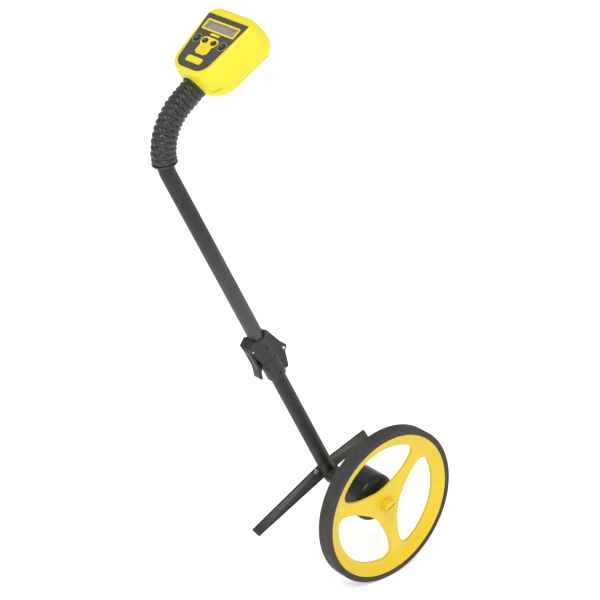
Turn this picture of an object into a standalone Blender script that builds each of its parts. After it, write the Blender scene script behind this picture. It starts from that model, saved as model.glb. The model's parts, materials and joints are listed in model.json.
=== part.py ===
"""Digital measuring wheel: a one metre wheel, a counter drum, a folding handle and a display head.

World frame: +Z up, +X the way the wheel rolls, the axle along Y with the open face of the wheel
towards -Y and the handle on the +Y side.  The handle leans back towards -X.
All sizes are in metres.  Pieces of the handle are drawn in the tube's own frame, where Z runs
up the tube from the axle, X points forwards and Y is the world's Y.
"""
import math

import bmesh
import bpy
from mathutils import Matrix, Vector

MM = 0.001
GAP = 0.3 * MM                      # clearance between pieces that touch

# ---- driving dimensions -------------------------------------------------------------------
WHEEL_RADIUS = 159.15 * MM          # one metre of ground for each turn
TYRE_WIDTH = 30.0 * MM
TYRE_DEPTH = 11.4 * MM
RIM_WIDTH = 27.0 * MM
WEB_FRONT = -3.0 * MM               # the web's face, set back from the rim's front edge
WEB_BACK = 4.0 * MM
AXLE_RADIUS = 6.0 * MM
AXLE_FRONT = -11.0 * MM
AXLE_BACK = 127.0 * MM
HUB_RADIUS = 22.0 * MM
HUB_BACK = 14.0 * MM
CAP_RADIUS = 13.5 * MM
CAP_FACE = -17.5 * MM
SPOKE_COUNT = 3
FIRST_SPOKE = math.radians(46.0)

DRUM_RADIUS = 48.0 * MM
DRUM_FRONT = 20.5 * MM
DRUM_FILLET = 14.0 * MM             # the drum's large rounded front edge
DRUM_BACK = 100.0 * MM
DRUM_WALL = 3.0 * MM
COVER_THICKNESS = 5.0 * MM
NECK_RADIUS = 18.0 * MM
BEARING_RADIUS = 11.0 * MM
BEARING_WIDTH = 7.0 * MM
ENCODER_Y = 60.0 * MM
ENCODER_RADIUS = 36.0 * MM

TUBE_Y = 160.0 * MM                 # the plane of the handle
TUBE_RADIUS = 15.0 * MM
TUBE_WALL = 1.5 * MM
TUBE_LEAN = math.radians(27.2)      # the handle's lean from upright
TUBE_BOTTOM = -15.0 * MM

FOLD_P = 30.0 * MM                  # fold pin, forwards of the tube's axis
FOLD_S = 351.0 * MM                 # fold pin, up the tube from the axle
SOCKET_RADIUS = 19.5 * MM
SOCKET_TOP = 405.0 * MM
SOCKET_BOTTOM = 297.0 * MM
SOCKET_HALF_WIDTH = 18.0 * MM
KNUCKLE_HALF_WIDTH = 9.5 * MM
KNUCKLE_RADIUS = 8.0 * MM
FOLD_PIN_RADIUS = 3.0 * MM
LATCH_P = -27.5 * MM
LATCH_S = 393.0 * MM
LATCH_PIN_RADIUS = 2.0 * MM
LATCH_HALF_WIDTH = 9.0 * MM
CATCH_P = -23.2 * MM                # the catch stops just short of the lever's nib

BEND_START = 819.0 * MM             # where the tube starts to curve forwards
BEND_RADIUS = 100.0 * MM
BEND_ANGLE = math.radians(81.5)
GRIP_START_ANGLE = math.radians(15.5)
GRIP_RADIUS = 23.0 * MM
GRIP_GROOVE = 3.2 * MM
GRIP_RIBS = 15

HEAD_DEPTH = 72.0 * MM
HEAD_SEAM = 66.0 * MM
HEAD_WALL = 3.0 * MM
PANEL_ABOVE_TUBE = 39.0 * MM        # the panel's height over the tube's end
PANEL_TOP = 158.7 * MM              # the panel's top edge, along the head from the bend's end
PANEL_LENGTH = 113.0 * MM
PANEL_HALF_TOP = 53.0 * MM
PANEL_HALF_BOTTOM = 41.0 * MM
PANEL_THICKNESS = 1.0 * MM

STAND_FRONT_Y = 16.8 * MM           # the stand's face, outboard of the tube's axis
STAND_THICKNESS = 4.0 * MM
STAND_TILT = math.radians(21.9)
STAND_REAR = -196.0 * MM
STAND_FORE = 119.0 * MM
STAND_RIVET_X = -17.7 * MM          # the low rivet beside the pivot, in the bar's own directions
STAND_RIVET_Z = 8.6 * MM

FINE = 72                           # sides of the wheel's round pieces
ROUND = 36
SMALL = 20
TINY = 12


# ---- scene helpers -----------------------------------------------------------------------
def clear_scene():
    for item in list(bpy.data.objects):
        bpy.data.objects.remove(item, do_unlink=True)


def make_material(name, colour, roughness, metallic=0.0, alpha=1.0):
    material = bpy.data.materials.new(name)
    material.use_nodes = True
    shader = material.node_tree.nodes["Principled BSDF"]
    shader.inputs["Base Color"].default_value = (*colour, 1.0)
    shader.inputs["Roughness"].default_value = roughness
    shader.inputs["Metallic"].default_value = metallic
    shader.inputs["Alpha"].default_value = alpha
    material.diffuse_color = (*colour, alpha)
    return material


def make_materials():
    return {
        "tyre": make_material("tyre", (0.030, 0.030, 0.029), 0.75),
        "wheel_yellow": make_material("wheel_yellow", (0.80, 0.56, 0.03), 0.35),
        "head_yellow": make_material("head_yellow", (0.90, 0.78, 0.05), 0.35),
        "gloss_black": make_material("gloss_black", (0.012, 0.012, 0.012), 0.15),
        "black_plastic": make_material("black_plastic", (0.022, 0.022, 0.021), 0.45),
        "tube_black": make_material("tube_black", (0.028, 0.030, 0.026), 0.35, 0.3),
        "stand_black": make_material("stand_black", (0.032, 0.032, 0.030), 0.50, 0.3),
        "grip_rubber": make_material("grip_rubber", (0.020, 0.024, 0.020), 0.55),
        "panel_grey": make_material("panel_grey", (0.055, 0.052, 0.050), 0.40),
        "button_black": make_material("button_black", (0.015, 0.016, 0.014), 0.40),
        "steel": make_material("steel", (0.62, 0.62, 0.60), 0.25, 1.0),
        "display": make_material("display", (0.30, 0.27, 0.22), 0.20),
        "clear": make_material("clear", (0.55, 0.55, 0.50), 0.05, 0.0, 0.35),
        "board": make_material("board", (0.03, 0.16, 0.06), 0.40),
        "cell": make_material("cell", (0.35, 0.35, 0.36), 0.30, 0.8),
        "brass": make_material("brass", (0.75, 0.58, 0.25), 0.30, 1.0),
    }


def make_empty(name, location, parent=None, turn_y=0.0):
    empty = bpy.data.objects.new(name, None)
    empty.empty_display_size = 0.02
    empty.location = location
    empty.rotation_euler = (0.0, turn_y, 0.0)
    empty.parent = parent
    bpy.context.scene.collection.objects.link(empty)
    return empty


def make_object(name, bm, material, parent):
    bmesh.ops.remove_doubles(bm, verts=bm.verts, dist=1e-6)
    bmesh.ops.recalc_face_normals(bm, faces=bm.faces)
    mesh = bpy.data.meshes.new(name)
    bm.to_mesh(mesh)
    bm.free()
    mesh.shade_smooth()
    mesh.set_sharp_from_angle(angle=math.radians(35.0))
    mesh.materials.append(material)
    piece = bpy.data.objects.new(name, mesh)
    piece.parent = parent
    bpy.context.scene.collection.objects.link(piece)
    return piece


def combine(piece, tools, operation="DIFFERENCE"):
    """Cut the tools out of the piece, or join them to it, and keep the result as its mesh."""
    for tool in tools:
        step = piece.modifiers.new("combine", "BOOLEAN")
        step.operation = operation
        step.solver = "EXACT"
        step.object = tool
    bpy.context.view_layer.update()
    graph = bpy.context.evaluated_depsgraph_get()
    result = bpy.data.meshes.new_from_object(piece.evaluated_get(graph))
    piece.modifiers.clear()
    material = piece.data.materials[0]
    bm = bmesh.new()
    bm.from_mesh(result)
    bmesh.ops.remove_doubles(bm, verts=bm.verts, dist=8e-6)
    bmesh.ops.dissolve_degenerate(bm, dist=1e-6, edges=bm.edges)
    bm.to_mesh(result)
    bm.free()
    piece.data = result
    piece.data.materials.clear()
    piece.data.materials.append(material)
    piece.data.shade_smooth()
    piece.data.set_sharp_from_angle(angle=math.radians(35.0))
    for tool in tools:
        bpy.data.objects.remove(tool, do_unlink=True)
    return piece


# ---- shape helpers -----------------------------------------------------------------------
def turned(profile, sides, axis="Z"):
    """Spin a closed profile of (radius, height) points once round an axis."""
    bm = bmesh.new()
    place = {
        "Z": lambda r, h: Vector((r, 0.0, h)),
        "Y": lambda r, h: Vector((r, h, 0.0)),
        "X": lambda r, h: Vector((h, 0.0, r)),
    }[axis]
    direction = {"Z": (0, 0, 1), "Y": (0, 1, 0), "X": (1, 0, 0)}[axis]
    verts = [bm.verts.new(place(r, h)) for r, h in profile]
    edges = []
    for i, vert in enumerate(verts):
        following = (i + 1) % len(verts)
        if profile[i][0] > 0.0 or profile[following][0] > 0.0:
            edges.append(bm.edges.new((vert, verts[following])))
    bmesh.ops.spin(bm, geom=verts + edges, cent=(0, 0, 0), axis=direction, angle=math.tau,
                   steps=sides, use_merge=True, use_duplicate=False)
    bmesh.ops.remove_doubles(bm, verts=bm.verts, dist=1e-6)
    return bm


def rod(radius, low, high, sides=SMALL, axis="Z", bevel=0.0):
    if bevel <= 0.0:
        profile = [(0.0, low), (radius, low), (radius, high), (0.0, high)]
    else:
        profile = [(0.0, low), (radius - bevel, low), (radius, low + bevel),
                   (radius, high - bevel), (radius - bevel, high), (0.0, high)]
    return turned(profile, sides, axis)


def ring(inner, outer, low, high, sides=SMALL, axis="Z"):
    return turned([(inner, low), (outer, low), (outer, high), (inner, high)], sides, axis)


def prism(outline, low, high, axis="Z"):
    """Extrude a flat outline.  Along Z its points are (x, y), and along Y they are (x, z)."""
    bm = bmesh.new()
    if axis == "Z":
        verts = [bm.verts.new((x, y, low)) for x, y in outline]
        step = Vector((0.0, 0.0, high - low))
    else:
        verts = [bm.verts.new((x, low, z)) for x, z in outline]
        step = Vector((0.0, high - low, 0.0))
    face = bm.faces.new(verts)
    extruded = bmesh.ops.extrude_face_region(bm, geom=[face])["geom"]
    bmesh.ops.translate(bm, vec=step, verts=[v for v in extruded if isinstance(v, bmesh.types.BMVert)])
    return bm


def block(low, high):
    bm = bmesh.new()
    size = Vector(high) - Vector(low)
    middle = (Vector(high) + Vector(low)) / 2.0
    bmesh.ops.create_cube(bm, size=1.0, matrix=Matrix.Translation(middle) @ Matrix.Diagonal((*size, 1.0)))
    return bm


def moved(bm, offset=(0.0, 0.0, 0.0), turn_y=0.0):
    matrix = Matrix.Translation(offset) @ Matrix.Rotation(turn_y, 4, "Y")
    bmesh.ops.transform(bm, matrix=matrix, verts=bm.verts)
    return bm


def loft(rings, closed=False):
    """Skin a list of rings that have equal numbers of points, with caps or joined end to end."""
    bm = bmesh.new()
    loops = [[bm.verts.new(point) for point in points] for points in rings]
    pairs = list(zip(loops, loops[1:]))
    if closed:
        pairs.append((loops[-1], loops[0]))
    for lower, upper in pairs:
        for i in range(len(lower)):
            j = (i + 1) % len(lower)
            bm.faces.new((lower[i], lower[j], upper[j], upper[i]))
    if not closed:
        bm.faces.new(list(reversed(loops[0])))
        bm.faces.new(loops[-1])
    return bm


def arc(centre, radius, start, end, steps):
    points = []
    for i in range(steps + 1):
        angle = start + (end - start) * i / steps
        points.append((centre[0] + radius * math.cos(angle), centre[1] + radius * math.sin(angle)))
    return points


def rounded_box(low_x, high_x, half_low, half_high, round_low, round_high, steps=4):
    """A symmetric outline in x and y whose width may differ between its two ends."""
    quarter = math.pi / 2.0
    outline = arc((high_x - round_high, half_high - round_high), round_high, 0.0, quarter, steps)
    outline += arc((low_x + round_low, half_low - round_low), round_low, quarter, 2 * quarter, steps)
    outline += arc((low_x + round_low, round_low - half_low), round_low, 2 * quarter, 3 * quarter, steps)
    outline += arc((high_x - round_high, round_high - half_high), round_high, 3 * quarter, 4 * quarter,
                   steps)
    return outline


def smooth_loop(points, steps):
    """A closed Catmull-Rom curve through a few points."""
    result = []
    count = len(points)
    for i in range(count):
        p0, p1, p2, p3 = (Vector(points[(i + k - 1) % count]) for k in range(4))
        for j in range(steps):
            t = j / steps
            spot = 0.5 * (2 * p1 + (p2 - p0) * t + (2 * p0 - 5 * p1 + 4 * p2 - p3) * t * t
                          + (3 * p1 - p0 - 3 * p2 + p3) * t ** 3)
            result.append((spot.x, spot.y))
    return result


def sweep_rings(stations, radius_at, sides):
    """Rings along the handle's path.  A station is (x, z, direction angle, distance)."""
    rings = []
    for x, z, heading, distance in stations:
        radius = radius_at(distance)
        side = Vector((math.sin(heading), 0.0, -math.cos(heading)))
        points = []
        for i in range(sides):
            angle = math.tau * i / sides
            offset = side * (radius * math.cos(angle)) + Vector((0.0, radius * math.sin(angle), 0.0))
            points.append(Vector((x, 0.0, z)) + offset)
        rings.append(points)
    return rings


# ---- the handle's path, in the tube's frame ------------------------------------------------
def handle_point(distance):
    """Position and heading on the tube's centre line, with 0 at the axle."""
    if distance <= BEND_START:
        return 0.0, distance, math.pi / 2.0, distance
    bend_length = BEND_RADIUS * BEND_ANGLE
    turned_by = min((distance - BEND_START) / BEND_RADIUS, BEND_ANGLE)
    heading = math.pi / 2.0 - turned_by
    x = BEND_RADIUS * (1.0 - math.cos(turned_by))
    z = BEND_START + BEND_RADIUS * math.sin(turned_by)
    extra = max(0.0, distance - BEND_START - bend_length)
    return x + extra * math.cos(heading), z + extra * math.sin(heading), heading, distance


BEND_END = BEND_START + BEND_RADIUS * BEND_ANGLE
GRIP_START = BEND_START + BEND_RADIUS * GRIP_START_ANGLE
GRIP_END = BEND_END + 39.0 * MM
TUBE_END = BEND_END + 62.0 * MM


# ---- wheel -------------------------------------------------------------------------------
def build_tyre(materials, parent):
    outer = WHEEL_RADIUS
    inner = WHEEL_RADIUS - TYRE_DEPTH
    half = TYRE_WIDTH / 2.0
    shoulder = 3.6 * MM
    profile = [(inner, -half + 1.0 * MM), (inner + 1.0 * MM, -half)]
    profile += arc((outer - shoulder, -half + shoulder), shoulder, -math.pi / 2.0, 0.0, 3)
    profile += arc((outer - shoulder, half - shoulder), shoulder, 0.0, math.pi / 2.0, 3)
    profile += [(inner + 1.0 * MM, half), (inner, half - 1.0 * MM)]
    return make_object("tyre", turned(profile, FINE, "Y"), materials["tyre"], parent)


def window_outline(bisector):
    """One opening between two spokes, as points (x, z) round the axle."""
    half = [(0.0, 35.5), (20.0, 38.5), (34.0, 47.5), (44.5, 62.0), (50.5, 80.0), (52.0, 97.0),
            (51.5, 110.0), (48.0, 119.0), (41.0, 122.0), (27.0, 122.3), (13.0, 122.4), (0.0, 122.4)]
    mirrored = [(-angle, radius) for angle, radius in reversed(half[1:-1])]
    points = []
    for angle, radius in half + mirrored:
        place = bisector + math.radians(angle)
        points.append((radius * MM * math.cos(place), radius * MM * math.sin(place)))
    return smooth_loop(points, 2)


def build_rim(materials, parent):
    outer = WHEEL_RADIUS - TYRE_DEPTH - GAP
    half = RIM_WIDTH / 2.0
    lip = outer - 3.6 * MM
    floor = outer - 22.0 * MM
    profile = [
        (AXLE_RADIUS + GAP, WEB_FRONT),
        (floor, WEB_FRONT),
        (outer - 14.0 * MM, WEB_FRONT - 1.6 * MM),
        (outer - 8.0 * MM, WEB_FRONT - 5.2 * MM),
        (lip, -half),
        (outer, -half),
        (outer, half),
        (lip, half),
        (outer - 8.0 * MM, WEB_BACK + 4.5 * MM),
        (floor, WEB_BACK),
        (HUB_RADIUS + 3.0 * MM, WEB_BACK),
        (HUB_RADIUS, WEB_BACK + 3.0 * MM),
        (HUB_RADIUS, HUB_BACK),
        (AXLE_RADIUS + GAP, HUB_BACK),
    ]
    rim = make_object("wheel_rim", turned(profile, FINE, "Y"), materials["wheel_yellow"], parent)
    windows = []
    for i in range(SPOKE_COUNT):
        bisector = FIRST_SPOKE + math.tau * (i + 0.5) / SPOKE_COUNT
        shape = prism(window_outline(bisector), -20.0 * MM, 20.0 * MM, "Y")
        windows.append(make_object("window_cutter", shape, materials["wheel_yellow"], parent))
    return combine(rim, windows)


def build_wheel(materials, parent):
    build_tyre(materials, parent)
    build_rim(materials, parent)
    axle = turned([
        (0.0, AXLE_FRONT), (AXLE_RADIUS - 1.0 * MM, AXLE_FRONT), (AXLE_RADIUS, AXLE_FRONT + 1.0 * MM),
        (AXLE_RADIUS, AXLE_BACK), (0.0, AXLE_BACK)], SMALL, "Y")
    make_object("axle", axle, materials["steel"], parent)
    washer = ring(AXLE_RADIUS + GAP, 15.0 * MM, WEB_FRONT - 1.8 * MM, WEB_FRONT - GAP, SMALL, "Y")
    make_object("hub_washer", washer, materials["steel"], parent)
    cap_base = WEB_FRONT - 2.1 * MM
    bevel = 1.6 * MM
    cap = turned([
        (AXLE_RADIUS + GAP, cap_base), (CAP_RADIUS, cap_base), (CAP_RADIUS, CAP_FACE + bevel),
        (CAP_RADIUS - bevel, CAP_FACE), (0.0, CAP_FACE), (0.0, AXLE_FRONT - GAP),
        (AXLE_RADIUS + GAP, AXLE_FRONT - GAP)], ROUND, "Y")
    cap = make_object("hub_cap", cap, materials["wheel_yellow"], parent)
    half_slot = CAP_RADIUS - 2.4 * MM
    slot = block((-half_slot, CAP_FACE - 1.0 * MM, -1.1 * MM), (half_slot, CAP_FACE + 2.4 * MM, 1.1 * MM))
    slot = make_object("slot_cutter", moved(slot, turn_y=math.radians(-25.0)), materials["steel"], parent)
    combine(cap, [slot])
    disc = turned([
        (AXLE_RADIUS + GAP, ENCODER_Y - 4.0 * MM), (10.0 * MM, ENCODER_Y - 4.0 * MM),
        (10.0 * MM, ENCODER_Y - 0.8 * MM), (ENCODER_RADIUS, ENCODER_Y - 0.8 * MM),
        (ENCODER_RADIUS, ENCODER_Y + 0.8 * MM), (AXLE_RADIUS + GAP, ENCODER_Y + 0.8 * MM)], ROUND, "Y")
    make_object("encoder_disc", disc, materials["black_plastic"], parent)
    collar = ring(AXLE_RADIUS + GAP, 9.5 * MM, AXLE_BACK - 7.0 * MM, AXLE_BACK - 1.0 * MM, SMALL, "Y")
    make_object("axle_collar", collar, materials["steel"], parent)


# ---- counter drum ------------------------------------------------------------------------
def build_drum(materials, parent):
    fillet = DRUM_FILLET
    inner = DRUM_RADIUS - DRUM_WALL
    seat = BEARING_RADIUS + GAP
    floor = DRUM_FRONT + BEARING_WIDTH + 2.0 * MM
    outer_edge = arc((DRUM_RADIUS - fillet, DRUM_FRONT + fillet), fillet, -math.pi / 2.0, 0.0, 5)
    inner_edge = arc((DRUM_RADIUS - fillet, DRUM_FRONT + fillet), fillet - DRUM_WALL, 0.0, -math.pi / 2.0, 4)
    profile = [(AXLE_RADIUS + 1.0 * MM, DRUM_FRONT)] + outer_edge + [
        (DRUM_RADIUS, DRUM_BACK),
        (inner, DRUM_BACK),
    ] + inner_edge + [
        (seat + 3.5 * MM, DRUM_FRONT + DRUM_WALL),
        (seat + 3.5 * MM, floor),
        (seat, floor),
        (seat, DRUM_FRONT + 2.0 * MM),
        (AXLE_RADIUS + 1.0 * MM, DRUM_FRONT + 2.0 * MM),
    ]
    make_object("drum_body", turned(profile, ROUND, "Y"), materials["gloss_black"], parent)

    cover_front = DRUM_BACK + GAP
    cover_back = cover_front + COVER_THICKNESS
    neck_bore = 14.0 * MM
    profile = [
        (AXLE_RADIUS + 1.0 * MM, cover_front + 1.0 * MM),
        (seat, cover_front + 1.0 * MM),
        (seat, cover_front - 6.5 * MM),
        (seat + 3.5 * MM, cover_front - 6.5 * MM),
        (seat + 3.5 * MM, cover_front),
        (DRUM_RADIUS - 1.0 * MM, cover_front),
        (DRUM_RADIUS, cover_front + 1.0 * MM),
        (DRUM_RADIUS, cover_back - 2.0 * MM),
        (DRUM_RADIUS - 2.0 * MM, cover_back),
        (NECK_RADIUS + 5.0 * MM, cover_back),
        (NECK_RADIUS, cover_back + 5.0 * MM),
        (NECK_RADIUS, TUBE_Y - 2.0 * MM),
        (5.0 * MM, TUBE_Y - 2.0 * MM),
        (5.0 * MM, AXLE_BACK + 4.0 * MM),
        (neck_bore, AXLE_BACK + 4.0 * MM),
        (neck_bore, cover_back),
        (AXLE_RADIUS + 1.0 * MM, cover_back),
    ]
    cover = make_object("drum_cover", turned(profile, ROUND, "Y"), materials["black_plastic"], parent)
    saddle = rod(TUBE_RADIUS + 1.5 * GAP, -60.0 * MM, 60.0 * MM, ROUND)
    saddle = moved(saddle, (0.0, TUBE_Y, 0.0), -TUBE_LEAN)
    saddle = make_object("saddle_cutter", saddle, materials["steel"], parent)
    screw_holes = []
    for i in range(3):
        angle = math.radians(90.0) + math.tau * i / 3
        x, z = 40.0 * MM * math.cos(angle), 40.0 * MM * math.sin(angle)
        hole = moved(rod(2.0 * MM, cover_front - 1.0 * MM, cover_back + 1.0 * MM, TINY, "Y"), (x, 0.0, z))
        screw_holes.append(make_object("hole_cutter", hole, materials["steel"], parent))
        screw = turned([
            (0.0, cover_front + 0.5 * MM), (1.6 * MM, cover_front + 0.5 * MM),
            (1.6 * MM, cover_back + GAP), (3.6 * MM, cover_back + GAP),
            (3.6 * MM, cover_back + 1.6 * MM), (2.6 * MM, cover_back + 2.4 * MM),
            (0.0, cover_back + 2.4 * MM)], TINY, "Y")
        make_object("cover_screw_%d" % (i + 1), moved(screw, (x, 0.0, z)), materials["steel"], parent)
    combine(cover, [saddle] + screw_holes)

    starts = {"front_bearing": DRUM_FRONT + 2.0 * MM + GAP, "rear_bearing": cover_front + 1.0 * MM - GAP
              - BEARING_WIDTH}
    for name, start in starts.items():
        bearing = ring(AXLE_RADIUS + GAP, BEARING_RADIUS, start, start + BEARING_WIDTH, SMALL, "Y")
        make_object(name, bearing, materials["steel"], parent)


def build_sensor(materials, parent):
    """The counter's board, behind the slotted disc, and the optical fork across the disc's edge."""
    board_front = ENCODER_Y + 8.0 * MM
    board = rounded_box(-17.0 * MM, 17.0 * MM, 12.5 * MM, 12.5 * MM, 4.0 * MM, 4.0 * MM, 2)
    board = prism(board, board_front, board_front + 1.6 * MM, "Y")
    board = moved(board, (0.0, 0.0, 27.0 * MM))
    make_object("sensor_board", board, materials["board"], parent)
    low = ENCODER_RADIUS - 6.0 * MM
    high = ENCODER_RADIUS + 5.0 * MM
    fork = block((-6.0 * MM, ENCODER_Y - 5.0 * MM, low), (6.0 * MM, board_front - GAP, high))
    fork = make_object("optical_fork", fork, materials["black_plastic"], parent)
    slot = block((-8.0 * MM, ENCODER_Y - 2.2 * MM, low - 1.0 * MM),
                 (8.0 * MM, ENCODER_Y + 2.2 * MM, ENCODER_RADIUS + 1.5 * MM))
    slot = make_object("fork_cutter", slot, materials["steel"], parent)
    combine(fork, [slot])


# ---- lower tube and stand ------------------------------------------------------------------
def build_lower_tube(materials, parent):
    top = FOLD_S - 6.0 * MM
    tube = ring(TUBE_RADIUS - TUBE_WALL, TUBE_RADIUS, TUBE_BOTTOM, top, ROUND)
    tube = make_object("lower_tube", tube, materials["tube_black"], parent)
    cross = rod(4.6 * MM, -30.0 * MM, 30.0 * MM, SMALL, "Y")
    cross = make_object("cross_cutter", cross, materials["steel"], parent)
    combine(tube, [cross])
    plug = turned([
        (0.0, TUBE_BOTTOM - 4.0 * MM), (9.0 * MM, TUBE_BOTTOM - 3.4 * MM),
        (TUBE_RADIUS - 0.5 * MM, TUBE_BOTTOM - 1.4 * MM), (TUBE_RADIUS - 0.2 * MM, TUBE_BOTTOM - GAP),
        (TUBE_RADIUS - TUBE_WALL - GAP, TUBE_BOTTOM - GAP),
        (TUBE_RADIUS - TUBE_WALL - GAP, TUBE_BOTTOM + 7.0 * MM), (0.0, TUBE_BOTTOM + 7.0 * MM)], ROUND)
    make_object("tube_end_plug", plug, materials["black_plastic"], parent)


def build_pivot(materials, parent):
    """The bolt on the axle's line that holds the tube to the drum and carries the stand."""
    stand_back = TUBE_Y + STAND_FRONT_Y + STAND_THICKNESS
    head_start = stand_back + 2.2 * MM
    shank = 4.2 * MM
    bolt = turned([
        (0.0, TUBE_Y - 26.0 * MM), (shank, TUBE_Y - 26.0 * MM), (shank, head_start),
        (7.5 * MM, head_start), (7.5 * MM, head_start + 3.5 * MM), (6.0 * MM, head_start + 5.0 * MM),
        (0.0, head_start + 5.0 * MM)], SMALL, "Y")
    make_object("pivot_bolt", bolt, materials["steel"], parent)
    washer = ring(shank + GAP, 11.5 * MM, stand_back + GAP, head_start - GAP, ROUND, "Y")
    make_object("pivot_washer", washer, materials["steel"], parent)


def stand_outline():
    """The bar's outline along x and across z, straight below and peaked at its pivot above."""
    bottom = -19.6 * MM
    tip_top = 4.5 * MM
    peak = 15.5 * MM
    return [
        (STAND_REAR + 7.0 * MM, bottom), (STAND_FORE + 2.0 * MM, bottom + 1.0 * MM),
        (STAND_FORE - 2.0 * MM, tip_top), (9.0 * MM, peak), (-9.0 * MM, peak), (STAND_REAR, tip_top)]


def build_stand(materials, parent):
    bar = prism(stand_outline(), STAND_FRONT_Y, STAND_FRONT_Y + STAND_THICKNESS, "Y")
    bar = make_object("stand_bar", moved(bar, turn_y=-STAND_TILT), materials["stand_black"], parent)
    hole = rod(8.0 * MM, 0.0, 40.0 * MM, SMALL, "Y")
    hole = make_object("hole_cutter", hole, materials["steel"], parent)
    across = STAND_RIVET_X * math.cos(STAND_TILT) - STAND_RIVET_Z * math.sin(STAND_TILT)
    rise = STAND_RIVET_X * math.sin(STAND_TILT) + STAND_RIVET_Z * math.cos(STAND_TILT)
    seat = moved(rod(2.0 * MM + GAP, 0.0, 40.0 * MM, TINY, "Y"), (across, 0.0, rise))
    seat = make_object("hole_cutter", seat, materials["steel"], parent)
    combine(bar, [hole, seat])
    head = STAND_FRONT_Y - GAP
    rivet = turned([
        (0.0, head - 1.2 * MM), (4.4 * MM, head - 1.2 * MM), (5.4 * MM, head), (2.0 * MM, head),
        (2.0 * MM, STAND_FRONT_Y + STAND_THICKNESS), (0.0, STAND_FRONT_Y + STAND_THICKNESS)], TINY, "Y")
    make_object("stand_rivet", moved(rivet, (across, 0.0, rise)), materials["steel"], parent)
    bush = ring(4.2 * MM + GAP, 8.0 * MM - GAP, STAND_FRONT_Y, STAND_FRONT_Y + STAND_THICKNESS, SMALL, "Y")
    make_object("stand_bush", bush, materials["brass"], parent)


# ---- folding joint -------------------------------------------------------------------------
def socket_shell(radius, low, high, taper):
    """A sleeve for one tube, drawn thinner at its outer end."""
    inner = TUBE_RADIUS + GAP
    if taper > 0:
        return turned([(inner, low), (radius, low), (radius, high - taper), (radius - 2.5 * MM, high),
                       (inner, high)], ROUND)
    return turned([(inner, low), (radius - 2.5 * MM, low), (radius, low - taper), (radius, high),
                   (inner, high)], ROUND)


def cheek(outline, inside, outside, materials, parent):
    return make_object("cheek_tool", prism(outline, inside, outside, "Y"), materials["steel"], parent)


def build_lower_socket(materials, parent):
    """The half that stays on the lower tube, with the middle knuckle and its spine."""
    top = FOLD_S - 0.4 * MM
    shell = socket_shell(SOCKET_RADIUS, SOCKET_BOTTOM, top, -12.0 * MM)
    socket = make_object("lower_socket", shell, materials["black_plastic"], parent)
    half = KNUCKLE_HALF_WIDTH
    spine = [(17.0 * MM, SOCKET_BOTTOM + 4.0 * MM), (26.0 * MM, SOCKET_BOTTOM + 1.0 * MM),
             (FOLD_P + KNUCKLE_RADIUS, FOLD_S), (FOLD_P, FOLD_S), (17.0 * MM, FOLD_S - 0.6 * MM)]
    spine = cheek(spine, -half + 0.2 * MM, half - 0.2 * MM, materials, parent)
    knuckle = rod(KNUCKLE_RADIUS, -half, half, SMALL, "Y")
    knuckle = make_object("knuckle_tool", moved(knuckle, (FOLD_P, 0.0, FOLD_S)), materials["steel"], parent)
    catch = [(-17.0 * MM, FOLD_S - 6.0 * MM), (CATCH_P, FOLD_S - 4.5 * MM),
             (CATCH_P, FOLD_S - 0.8 * MM), (-17.0 * MM, FOLD_S - 0.8 * MM)]
    catch = cheek(catch, -7.0 * MM, 7.0 * MM, materials, parent)
    combine(socket, [spine, knuckle, catch], "UNION")
    hole = rod(FOLD_PIN_RADIUS + GAP, -half - 1.0 * MM, half + 1.0 * MM, TINY, "Y")
    hole = make_object("pin_cutter", moved(hole, (FOLD_P, 0.0, FOLD_S)), materials["steel"], parent)
    screw = rod(2.4 * MM, -25.0 * MM, 0.0, TINY, "Y")
    screw = make_object("screw_cutter", moved(screw, (0.0, 0.0, SOCKET_BOTTOM + 15.0 * MM)),
                        materials["steel"], parent)
    combine(socket, [hole, screw])


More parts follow.
